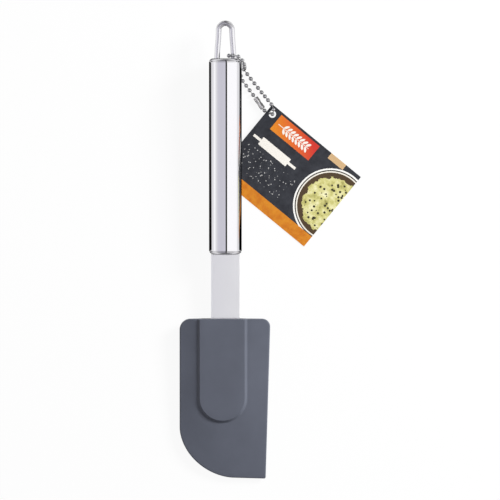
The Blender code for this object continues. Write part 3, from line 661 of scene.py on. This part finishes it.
starts = np.concatenate([
    np.stack([left_edge, level_rows], axis=1),
    (SOCKET_X, SOCKET_Y) + ray_ways[1:-1] * reach[1:-1, None],
    np.stack([right_edge, level_rows], axis=1)[::-1],
])
middle_line = np.stack([np.full_like(level_rows, SOCKET_X), level_rows], axis=1)
centres = np.concatenate([
    middle_line, np.repeat([(SOCKET_X, SOCKET_Y)], len(rays) - 2, axis=0), middle_line[::-1],
])
lengths = np.linalg.norm(starts - centres, axis=1)
inward = (centres - starts) / lengths[:, None]
print("blade lines:", len(starts), "shortest, mm:", (lengths.min() * 1000).round(2))

# %% [markdown]
# The heights come from real sizes. The body is 6.0 mm thick beside the socket, 1.5 mm at the
# left edge and 3.4 mm at the right one, where the blade is held square to a board. The socket's
# faces stand 4.4 mm from the middle plane, and its wall slopes at 44 degrees with a small
# rounding at the rim and a wider one at the foot, as a mould maker would cut it.
# The slopes to the sides and to the heel are multiplied, so they join without a crease. The bend
# where the margin begins is sharp beside the socket and fades out below it, and each side sags a
# little between socket and edge, as thin silicone does when it cools.

# %% Blade heights
BODY_HALF = 0.0030
EDGE_HALF = 0.00075
RIGHT_EDGE_HALF = 0.00170
SIDE_SAG = 0.15
SOCKET_REACH = 0.0155
TAPER_START = -0.1019
BEND_WIDTH = 0.0006
BEND_SPREAD = 0.0034
HEEL_BEND = 0.0010


def eased(value, width):
    """Zero below zero and a straight line above it, rounded over a width: soft plus."""
    return width * np.log1p(np.exp(np.clip(value / width, -40, 40)))


def body_height(x, y):
    """Half the body's thickness: edge + (body - edge) (1 - s) (1 - sag s) (1 - h).

    s is the share of the way from the socket's foot to the side, h the share to the heel. The
    bend at the socket's foot is rounded over a width that grows by 3.4 mm below the socket.
    """
    across = np.abs(x - SOCKET_X)
    edge = np.where(x < SOCKET_X, SOCKET_X - HEAD_LEFT, HEAD_RIGHT - SOCKET_X)
    thin = np.where(x < SOCKET_X, EDGE_HALF, RIGHT_EDGE_HALF)
    width = BEND_WIDTH + BEND_SPREAD * np.clip((SOCKET_Y - y) / SOCKET_REACH, 0, 1)
    side_fall = eased(across - SOCKET_REACH, width) / (edge - SOCKET_REACH)
    heel_fall = eased(TAPER_START - y, HEEL_BEND) / (TAPER_START - HEAD_BOTTOM)
    side_left = np.clip(1 - side_fall, 0, 1) * (1 - SIDE_SAG * np.clip(side_fall, 0, 1))
    side = (thin - EDGE_HALF) + (BODY_HALF - thin) * side_left
    return EDGE_HALF + side * np.clip(1 - heel_fall, 0, 1)


print("left edge, mm thick:", round(2000 * float(body_height(HEAD_LEFT, SOCKET_Y)), 3))

# %% The socket's wall
SOCKET_HALF = 0.0044
FACE_REACH = 0.0135
RIM_ROUND = 0.0004
FOOT_ROUND = 0.0009
WALL_SLOPE = 44

slope = math.radians(WALL_SLOPE)
rim_touch = RIM_ROUND * math.tan(slope / 2)
foot_touch = FOOT_ROUND * math.tan(slope / 2)
wall_rise = SOCKET_HALF - BODY_HALF
foot_at = FACE_REACH + wall_rise / math.tan(slope)
foot_arc = arc(FOOT_ROUND, -90, -90 - WALL_SLOPE, 8, (foot_at + foot_touch, FOOT_ROUND))
rim_arc = arc(RIM_ROUND, 90 - WALL_SLOPE, 90, 5, (FACE_REACH - rim_touch, wall_rise - RIM_ROUND))
wall = np.vstack([foot_arc, rim_arc])
print("socket wall from, to, mm:", wall[0].round(5) * 1000, wall[-1].round(5) * 1000)

# %% Blade faces
EDGE_ROUND = 0.0007
BODY_COLUMNS = 18

edge_turn = np.radians(np.linspace(0, 90, 7))
edge_in = EDGE_ROUND * (1 - np.cos(edge_turn))
edge_drop = EDGE_ROUND * (1 - np.sin(edge_turn))
spread = np.linspace(0, 1, BODY_COLUMNS + 1)[1:-1]
to_foot = lengths[:, None] - wall[0, 0] - EDGE_ROUND
distance = np.hstack([
    np.zeros((len(starts), 1)),
    np.repeat(edge_in[None], len(starts), axis=0),
    EDGE_ROUND + to_foot * spread,
    lengths[:, None] - wall[:, 0],
    lengths[:, None] - wall[-1, 0] * np.array([0.75, 0.5, 0.25, 0.0]),
])
flat_part = starts[:, None] + inward[:, None] * distance[..., None]
lift = np.concatenate([np.zeros(len(edge_in) + len(spread) + 1), wall[:, 1], np.full(4, wall_rise)])
drop = np.concatenate([[0.0], edge_drop, np.zeros(distance.shape[1] - len(edge_drop) - 1)])
height = body_height(flat_part[..., 0], flat_part[..., 1]) + lift - drop
height[:, 0] = 0
lip_in = TOP_LIP * (1 - np.sin(lip_turn))
lines_in = np.concatenate([lip_in, np.zeros(len(starts) - 2 * len(lip_in)), lip_in[::-1]])
height -= lines_in[:, None] * np.clip(height / 0.001, 0, 1)
upper = np.dstack([flat_part, height])
lower = upper * (1, 1, -1)
print("blade grid:", upper.shape, "thickest, mm:", round(2000 * height.max(), 2))

# %% [markdown]
# The top end is flat, with the mouth of the pocket that takes the core. The pocket follows the
# core's outline with a small clearance, so it ends in the same half circle. Each point of the end
# face's border is paired with the nearest point of the mouth, and the mouth is carried down to
# where the half circle stops it.

# %% Blade end and pocket
POCKET_REACH = 0.0123
POCKET_HALF = 0.0028

border = np.vstack([upper[0], upper[-1][::-1][1:]])
mouth_x = np.clip(border[:, 0], SOCKET_X - POCKET_REACH, SOCKET_X + POCKET_REACH)
mouth_z = np.where(border[:, 2] > 0, POCKET_HALF, 0.0)
pocket_end = SOCKET_Y - np.sqrt(np.clip(POCKET_REACH ** 2 - (mouth_x - SOCKET_X) ** 2, 0, None))
mouth = np.stack([mouth_x, border[:, 1], mouth_z], axis=1)
deep = np.stack([mouth_x, pocket_end, mouth_z], axis=1)
middle = deep * (1, 1, 0)
end_sheet = np.stack([border, mouth, deep, middle])
blade_sheets = [(on_cutter(sheet), False, False)
                for sheet in (upper, lower, end_sheet, end_sheet * (1, 1, -1))]
blade = skin("blade_skin", blade_sheets, sharp=50)
dress(blade, silicone, "head", "silicone", "blade")

# %% [markdown]
# ## The core
# Silicone alone is too soft to hold a bar, so such heads have a stiff core moulded round it. It
# shows only as a thin dark line at the blade's top end, and when the blade is pulled off. Its
# measured solid has the right shape, so it stays and only gets its material: black nylon, matt
# from a mould eroded by sparks. Their pits are a tenth of a millimetre wide and are drawn at
# half a millimetre, so that they show.

# %% Core
nylon, tree, shader = new_material("moulded_black_nylon")
where = add(tree, "TexCoord").outputs["Object"]
spark = add(tree, "TexNoise", {"Vector": where, "Scale": 1800.0, "Detail": 2.0})
fill(shader, {
    "Base Color": add(tree, "ValToRGB", spark, stops=[(0.35, "#1C1D1F"), (0.65, "#26282A")]),
    "Roughness": add(tree, "MapRange", spark, 0.0, 1.0, 0.45, 0.65),
    "Normal": add(tree, "Bump", {"Height": spark, "Strength": 0.5, "Distance": 0.00002}),
})
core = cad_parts["head_core"]
core.data.materials.clear()
core.data.materials.append(nylon)
print("core keeps its solid, with", len(core.data.polygons), "faces")

# %% [markdown]
# ## The bead chain
# Bead chain is made of hollow balls, 2.4 mm across, that hold short wires with knobbed ends, so
# each ball can turn on the next. One run comes from the loop over the handle's shoulder to the
# card's hole, the other goes under the handle, and a sleeve joins them. The balls lie on the
# measured model's routes. Dozens of spheres would do, but one circle carried along the chain,
# wide at each ball and thin at each wire, makes each strand one closed skin.

# %% Sizes of the chain
BEAD = 0.0012
WIRE = 0.00020
PITCH = 0.00336
CLEAR = 0.0004
TABLE_BEAD = BEAD + 0.0001
CARD_LIFT = 0.0044
CARD_THICKNESS = 0.00045
HOLE = np.array([0.0282, 0.0840])
SLEEVE_AT = np.array([0.0203, 0.0907])
SLEEVE_TURN = math.radians(-55.5)
SLEEVE_HEIGHT = 0.0016
WRAP = WIRE_RADIUS + BEAD + CLEAR
BESIDE = TUBE_RADIUS + BEAD + CLEAR

leg_at = on_cutter([FOOT_HALF, HANDLE_LENGTH + BEAD + CLEAR, 0]) - (AXIS_X, AXIS_Y, 0)
front_bead = (0.0110, 0.1109, TABLE_BEAD)
back_bead = (0.0103, 0.1040, TABLE_BEAD)
hole_bead = (*HOLE, CARD_LIFT - 0.0008)
print("the leg's centre on the table, mm:", (np.asarray(leg_at) * 1000).round(2))

# %% Chain routes
def sleeve_point(reach):
    """A point on the sleeve's axis, that far from its middle towards the card."""
    return (*(SLEEVE_AT + rotate(reach, 0, SLEEVE_TURN)), SLEEVE_HEIGHT)


top_z = leg_at[2] + WRAP
over_shoulder = [
    (leg_at[0], leg_at[1], top_z),
    (BESIDE - 0.0037, HANDLE_LENGTH + 0.0009, top_z + 0.0017),
    (BESIDE - 0.0016, HANDLE_LENGTH - 0.0010, top_z + 0.0018),
    (BESIDE - 0.0003, HANDLE_LENGTH - 0.0032, top_z - 0.0003),
    (BESIDE, HANDLE_LENGTH - 0.0050, top_z - 0.0040),
    (BESIDE, HANDLE_LENGTH - 0.0058, 0.0100),
    (BESIDE - 0.0002, HANDLE_LENGTH - 0.0061, 0.0050),
    front_bead,
]
card_top = CARD_LIFT + CARD_THICKNESS
to_card = [
    front_bead,
    (HOLE[0] - 0.0131, HOLE[1] + 0.0215, TABLE_BEAD),
    (HOLE[0] - 0.0068, HOLE[1] + 0.0135, TABLE_BEAD + 0.0003),
    (HOLE[0] - 0.0030, HOLE[1] + 0.0088, card_top),
    (HOLE[0] - 0.0006, HOLE[1] + 0.0058, card_top + BEAD + 0.0003),
    (HOLE[0] + 0.0006, HOLE[1] + 0.0030, card_top + BEAD - 0.0002),
    hole_bead,
]
under_card = [
    hole_bead, (HOLE[0] - 0.0026, HOLE[1] + 0.0012, TABLE_BEAD + 0.0003),
    sleeve_point(0.00405 + BEAD), sleeve_point(0.0026),
]
low_z = leg_at[2] - WRAP
down_behind = [
    (leg_at[0], leg_at[1], low_z),
    (leg_at[0], leg_at[1] + 0.0003, low_z - 0.0035),
    (leg_at[0], leg_at[1] + 0.0002, low_z - 0.0075),
    (leg_at[0] + 0.0003, leg_at[1] - 0.0010, 0.0027),
    (leg_at[0] + 0.0012, leg_at[1] - 0.0034, TABLE_BEAD),
    back_bead,
]
to_sleeve = [back_bead, (0.0163, 0.0960, TABLE_BEAD), sleeve_point(-0.0026)]
print("points from loop to card:", len(over_shoulder) + len(to_card) - 1)

# %% Beads along the routes
BEAD_RINGS = 12
CHAIN_SIDES = 16
LINK_GAP = 0.0003


def through(points):
    """A smooth line through points: Catmull-Rom cubics, sixteen steps to a span."""
    p = np.asarray(points, float)
    p = np.vstack([2 * p[0] - p[1], p, 2 * p[-1] - p[-2]])
    t = np.linspace(0, 1, 16, endpoint=False)[None, :, None]
    a, b, c, d = (p[i:len(p) - 3 + i, None] for i in range(4))
    line = (2 * b + (c - a) * t + (2 * a - 5 * b + 4 * c - d) * t ** 2
            + (3 * b - a - 3 * c + d) * t ** 3) / 2
    return np.vstack([line.reshape(-1, 3), p[-2]])


def ball_centres(route):
    """Balls at both ends of a route and evenly between them, as near the chain's pitch as fits."""
    line = through(route)
    run = np.concatenate([[0], np.cumsum(np.linalg.norm(np.diff(line, axis=0), axis=1))])
    at = np.linspace(0, run[-1], max(1, round(run[-1] / PITCH)) + 1)
    return np.stack([np.interp(at, run, line[:, i]) for i in range(3)], axis=1)


def beaded(centres, first_is_wire):
    """Each ball is c - d R cos(a) along the chain and R sin(a) wide; wires join the balls."""
    along = unit(np.gradient(centres, axis=0))
    first = math.asin(WIRE / BEAD)
    turn = np.linspace(first, math.pi - first, BEAD_RINGS + 1)
    path = centres[:, None] - along[:, None] * BEAD * np.cos(turn)[None, :, None]
    wide = np.broadcast_to(BEAD * np.sin(turn), path.shape[:2])
    path, wide = path.reshape(-1, 3), wide.reshape(-1)
    if first_is_wire:
        skip = BEAD_RINGS + 1
        lead = unit(centres[1] - centres[0])
        path = np.vstack([centres[0] + lead * (BEAD + LINK_GAP), path[skip:]])
        wide = np.concatenate([[WIRE], wide[skip:]])
    return carried(on_table(path), CHAIN_SIDES, wide)


front = np.vstack([ball_centres(over_shoulder), ball_centres(to_card)[1:],
                   ball_centres(under_card)[1:]])
back = np.vstack([ball_centres(down_behind), ball_centres(to_sleeve)[1:]])
wrap_turn = np.radians(np.linspace(90, 270, 4))
wrap = leg_at + WRAP * np.stack([np.cos(wrap_turn), np.zeros(4), np.sin(wrap_turn)], axis=1)
print("balls in front, behind and round the leg:", len(front) - 1, len(back) - 1, len(wrap))

# %% [markdown]
# The balls and the sleeve are steel strip, rolled and nickel plated. Tumbling in a barrel leaves
# the plate bright with tiny dents, less than a millimetre apart, so the material has a fine dimple
# and a slightly uneven polish. The same plate is written in two tones: darker on the balls, a
# painted shade for the dark look of small mirror balls, and brighter on the sleeve, a painted
# highlight that stands in for the key light's glint, which mirrored rays no longer see.

# %% Nickel plate
def nickel_plate(name, low, high, roughness, rim):
    """Nickel between two tones, of a mean roughness, with its small dents and its rim tinted."""
    material, tree, shader = new_material(name)
    where = add(tree, "TexCoord").outputs["Object"]
    dents = add(tree, "TexNoise", {"Vector": where, "Scale": 1500.0, "Detail": 2.0})
    fill(shader, {
        "Base Color": add(tree, "ValToRGB", dents, stops=[(0.3, low), (0.7, high)]),
        "Roughness": add(tree, "MapRange", dents, 0.0, 1.0, roughness * 0.6, roughness * 1.4),
        "Normal": add(tree, "Bump", {"Height": dents, "Strength": 0.3, "Distance": 0.00002}),
        "Metallic": 1.0, "Specular Tint": (rim, rim, rim, 1.0),
    })
    return material


# Painted shade and painted highlight: one nickel plate, written darker on the balls and brighter on
# the sleeve.
shaded_ball_nickel = nickel_plate("barrel_nickel_plate", "#C6C6C8", "#D6D6D8", 0.085, 0.2)
highlit_sleeve_nickel = nickel_plate("rolled_nickel_strip", "#F0EFEE", "#FAF9F8", 0.14, 0.8)
for name, centres, wire_start, body in (
    ("chain_hanger", wrap, False, "handle"),
    ("chain_front", front, True, "chain"),
    ("chain_back", back, True, "chain"),
):
    strand = skin(name + "_beads", [(beaded(centres, wire_start), False, True)], sharp=50)
    dress(strand, shaded_ball_nickel, body, "chain", name)

# %% [markdown]
# ## The chain's connector
# The connector is a strip rolled into a sleeve, with a slot along its side through which the two
# end balls snap in, and drawn-in mouths that keep them there. It is one sheet, a profile turned
# round its axis but for the slot, and Solidify gives it the strip's thickness.

# %% Connector
SLEEVE_OUTER = 0.0015
SLEEVE_MOUTH = 0.00095
SLEEVE_HALF = 0.00405
SLOT_HALF = 0.0003
STRIP = 0.0002

neck = SLEEVE_OUTER - SLEEVE_MOUTH
half_profile = np.vstack([
    [(SLEEVE_MOUTH, SLEEVE_HALF)],
    arc(neck, 90, 0, 8, (SLEEVE_MOUTH, SLEEVE_HALF - neck))[1:],
    [(SLEEVE_OUTER, 0.0011), (SLEEVE_OUTER - 0.00016, 0.0004), (SLEEVE_OUTER - 0.00018, 0.0)],
])
sleeve_profile = np.vstack([half_profile, (half_profile * (1, -1))[::-1][1:]])
slot_angle = math.asin(SLOT_HALF / SLEEVE_OUTER)
turn = np.linspace(slot_angle, math.tau - slot_angle, 40)[:, None] + math.radians(125)
radius, height = sleeve_profile.T
across = radius * np.cos(turn)
up = radius * np.sin(turn)
x, y = rotate(height, -across, SLEEVE_TURN)
sleeve_grid = np.stack([SLEEVE_AT[0] + x, SLEEVE_AT[1] + y, SLEEVE_HEIGHT + up], axis=-1)
sleeve = skin("connector_sleeve", [(on_table(sleeve_grid), False, False)], sharp=50)
solid = sleeve.modifiers.new("Strip", "SOLIDIFY")
solid.thickness = STRIP
solid.offset = -1
dress(sleeve, highlit_sleeve_nickel, "chain", "chain", "chain_connector")

# %% [markdown]
# ## The card tag
# The tag is stiff card, 68.8 by 54 mm, with a punched hole near one corner. The chain lifts that
# corner, so the card bends up there and lies flat elsewhere. Its grid goes from the hole's edge
# out to the card's border, on the front and on the back, so hole, faces and border are one closed
# skin. It also carries a map of millimetres for the print.

# %% Card
CARD_LENGTH = 0.068799
CARD_WIDTH = 0.0540
CARD_TURN = math.radians(-39.4)
HOLE_ALONG = 0.0037
HOLE_ACROSS = 0.0046
HOLE_RADIUS = 0.0022
CARD_BEND = 0.0450

left, right = -HOLE_ALONG, CARD_LENGTH - HOLE_ALONG
top, bottom = HOLE_ACROSS, HOLE_ACROSS - CARD_WIDTH
corner_angles = [math.atan2(y, x) for x in (left, right) for y in (top, bottom)]
even_angles = np.linspace(-math.pi, math.pi, 180, endpoint=False)
angles = np.sort(np.concatenate([even_angles, corner_angles]))
ways = np.stack([np.cos(angles), np.sin(angles)], axis=1)
with np.errstate(divide="ignore"):
    to_side = np.where(ways[:, 0] > 0, right, left) / ways[:, 0]
    to_end = np.where(ways[:, 1] > 0, top, bottom) / ways[:, 1]
border_reach = np.minimum(np.abs(to_side), np.abs(to_end))
share = np.linspace(0, 1, 60) ** 1.25
radial = HOLE_RADIUS + (border_reach[:, None] - HOLE_RADIUS) * share
card_flat = ways[:, None] * radial[..., None]


def bent(flat):
    """The corner's rise: lift * (1 - distance from the corner along the diagonal / bend) ** 2."""
    along = (flat - (left, top)) @ unit(np.array([right - left, bottom - top]))
    return CARD_LIFT * np.clip(1 - along / CARD_BEND, 0, None) ** 2


def card_sheet(side):
    """Turn the flat card about its hole, raise it by its bend, and set it on the table."""
    x, y = rotate(card_flat[..., 0], card_flat[..., 1], CARD_TURN)
    z = bent(card_flat) + CARD_THICKNESS / 2 * (1 + side)
    return np.stack([HOLE[0] + x, HOLE[1] + y, z], axis=-1)


front_sheet, back_sheet = on_table(card_sheet(1)), on_table(card_sheet(-1))
card_grid = np.concatenate([front_sheet, back_sheet[:, ::-1]], axis=1)
card = skin("card_tag", [(card_grid, True, True)], sharp=50)

# %% A map of millimetres on the card
def card_map(piece):
    """UV in tenths of a metre from the card's lower left corner; the back is moved up by one."""
    mesh = piece.data
    corners = np.empty(len(mesh.loops), int)
    mesh.loops.foreach_get("vertex_index", corners)
    points = np.empty(len(mesh.vertices) * 3)
    mesh.vertices.foreach_get("co", points)
    away = points.reshape(-1, 3) - on_table([*HOLE, 0])
    x, y = rotate(away[:, 0], away[:, 1], -CARD_TURN)
    above = away[:, 2] - bent(np.stack([x, y], axis=1)) > CARD_THICKNESS / 2
    uv = np.stack([(x - left) * 10, (y - bottom) * 10 + np.where(above, 0, 1)], axis=1)
    layer = mesh.uv_layers.new(name="card_map")
    layer.data.foreach_set("uv", uv[corners].reshape(-1))


card_map(card)
print("card map laid on", len(card.data.loops), "corners")

# %% [markdown]
# ## The printed card
# Card for such tags is coated board, printed in four inks and varnished, so it is smooth with a
# low gloss that waves a little, about every 0.7 mm, where the varnish has run. The print is a
# plain design of its own in warm colours, on charcoal with clouds 6 mm wide: a glowing block with
# a wheat ear, a stripe, a rolling pin in a dusting of flour, and a bowl of seeded dough that the
# card's edge cuts. Each shape is a distance on the card in millimetres, cut off softly over a
# tenth of a millimetre, and the shapes are laid over each other like inks.

# %% Print helpers
card_stock, tree, shader = new_material("varnished_printed_board")
uv = add(tree, "UVMap", uv_map="card_map")
millimetres = add(tree, "Mapping", {"Vector": uv, "Scale": (100, 100, 100)})
split = add(tree, "SeparateXYZ", millimetres).outputs
mm_x, mm_y = split["X"], split["Y"]


def inside(distance, limit=0.0):
    """1 where a distance in millimetres is below a limit, falling to 0 over a tenth."""
    return add(tree, "MapRange", distance, limit - 0.05, limit + 0.05, 1.0, 0.0)


def box_distance(x_low, x_high, y_low, y_high):
    """Distance outside a box: the larger of |x - middle| - half width and the same in y."""
    middle = ((x_low + x_high) / 2, (y_low + y_high) / 2, 0.0)
    half = ((x_high - x_low) / 2, (y_high - y_low) / 2, 0.0)
    away = add(tree, "VectorMath", millimetres, middle, operation="SUBTRACT")
    away = add(tree, "VectorMath", away, operation="ABSOLUTE")
    away = add(tree, "VectorMath", away, half, operation="SUBTRACT")
    away = add(tree, "SeparateXYZ", away).outputs
    return add(tree, "Math", away["X"], away["Y"], operation="MAXIMUM")


def dots(scale, radius, region):
    """1 in specks of a radius round scattered points, where the region's distance is below 0."""
    near = add(tree, "TexVoronoi", {"Vector": millimetres, "Scale": scale})
    speck = add(tree, "Math", near, 1 / scale, -radius, operation="MULTIPLY_ADD")
    return inside(add(tree, "Math", speck, region, operation="MAXIMUM"))


def lay(under, ink, mask):
    """Print an ink, a hex colour or a node, over what is there, where the mask is 1."""
    ink = linear(ink) if isinstance(ink, str) else ink
    return add(tree, "Mix", {"Factor": mask, 6: under, 7: ink}, data_type="RGBA").outputs[2]


print("area to print, mm:", round(CARD_LENGTH * 1000, 1), "by", CARD_WIDTH * 1000)

# %% Card print: ground, board and glowing block
ground = add(tree, "TexNoise", {
    "Vector": millimetres, "Scale": 0.16, "Detail": 5.0, "Roughness": 0.65,
})
inks = add(tree, "ValToRGB", ground, stops=[(0.30, "#1E2026"), (0.70, "#35373D")])
inks = lay(inks, "#C9A87C", inside(box_distance(46.0, 57.5, 50.2, 60.0)))

slantwise = add(tree, "Math", mm_y, 1.1, mm_x, operation="MULTIPLY_ADD")
glow_place = add(tree, "Math", slantwise, 100.0, operation="DIVIDE")
glow_stops = [(0.52, "#DF8E20"), (0.72, "#DA6627"), (0.90, "#C8342A")]
glow = add(tree, "ValToRGB", glow_place, stops=glow_stops)
inks = lay(inks, glow, inside(box_distance(8.2, 38.0, 41.6, 52.6)))
print("nodes for ground, board and block:", len(tree.nodes))

# %% Card print: wheat ear, rolling pin and flour
INK_WHITE = "#EDE9E1"
EAR_BOX = (14.4, 33.6, 43.0, 51.0)
EAR_MIDDLE = 47.1
GRAIN_STEP = 2.4
GRAIN_ASIDE = 1.7
GRAIN_LEAN = math.radians(50)
GRAIN_SIZE = (1.7, 0.72, 1.0)

step_x = add(tree, "Math", mm_x, GRAIN_STEP, operation="MODULO")
grain = add(tree, "CombineXYZ",
            add(tree, "Math", step_x, GRAIN_STEP / 2, operation="SUBTRACT"),
            add(tree, "Math", apart(tree, mm_y, EAR_MIDDLE), GRAIN_ASIDE, operation="SUBTRACT"))
grain = add(tree, "Mapping", {
    "Vector": grain, "Rotation": (0, 0, GRAIN_LEAN), "Scale": GRAIN_SIZE,
}, vector_type="TEXTURE")
grain = add(tree, "VectorMath", grain, grain, operation="DOT_PRODUCT").outputs["Value"]
grain = add(tree, "Math", grain, 1.0, operation="SUBTRACT")
ear = add(tree, "Math", grain, box_distance(*EAR_BOX), operation="MAXIMUM")
inks = lay(inks, INK_WHITE, inside(ear))

stalk, barrel, handles = (10.4, 33.6, 46.9, 47.3), (8.4, 29.6, 30.1, 35.5), (2.9, 35.1, 32.0, 33.6)
for box in (stalk, barrel, handles):
    inks = lay(inks, INK_WHITE, inside(box_distance(*box)))
inks = lay(inks, "#B9B8B6", dots(0.62, 0.34, box_distance(4.0, 40.0, 12.0, 27.5)))
print("grains in the ear:", 2 * round((EAR_BOX[1] - EAR_BOX[0]) / GRAIN_STEP))

# %% Card print: the bowl
BOWL_MIDDLE = (65.7, 29.0, 0.0)
BOWL_RADIUS = 22.6
DOUGH_INSET = 5.6
SEED_INSET = 7.0
RAGGED = 9.0

bowl = add(tree, "VectorMath", millimetres, BOWL_MIDDLE, operation="DISTANCE").outputs["Value"]
for inset, ink in ((0.0, "#F2F1EC"), (1.0, "#2C2822"), (1.7, "#E9E4D8"), (2.5, "#4A3A26")):
    inks = lay(inks, ink, inside(bowl, BOWL_RADIUS - inset))

crumb = add(tree, "TexNoise", {
    "Vector": millimetres, "Scale": 0.20, "Detail": 6.0, "Roughness": 0.6,
})
dough_stops = [(0.30, "#8F8A48"), (0.47, "#CBC67E"), (0.68, "#EDE9BC")]
dough = add(tree, "ValToRGB", crumb, stops=dough_stops)
ragged = add(tree, "Math", crumb, RAGGED, bowl, operation="MULTIPLY_ADD")
inks = lay(inks, dough, inside(ragged, BOWL_RADIUS - DOUGH_INSET + RAGGED / 2))
well_inside = add(tree, "Math", bowl, BOWL_RADIUS - SEED_INSET, operation="SUBTRACT")
inks = lay(inks, "#33301F", dots(0.40, 0.75, well_inside))
print("bowl, mm across:", 2 * BOWL_RADIUS)

# %% Card print: stripe, plain back and varnish
STRIPE_WIDTH = 7.6
stripe_tone = add(tree, "TexNoise", {"Vector": millimetres, "Scale": 0.25, "Detail": 3.0})
stripe = add(tree, "ValToRGB", stripe_tone, stops=[(0.35, "#C26F14"), (0.65, "#D2851F")])
inks = lay(inks, stripe, inside(mm_y, STRIPE_WIDTH))
back_of_card = add(tree, "Math", mm_y, 80.0, operation="GREATER_THAN")
inks = lay(inks, "#D9D6CF", back_of_card)

varnish = add(tree, "TexNoise", {"Vector": millimetres, "Scale": 1.4, "Detail": 3.0})
fill(shader, {
    "Base Color": inks,
    "Roughness": add(tree, "MapRange", varnish, 0.0, 1.0, 0.34, 0.48),
    "Normal": add(tree, "Bump", {"Height": varnish, "Strength": 0.2, "Distance": 0.00002}),
})
dress(card, card_stock, "tag", "card", "hang_tag")
print("print nodes:", len(tree.nodes))
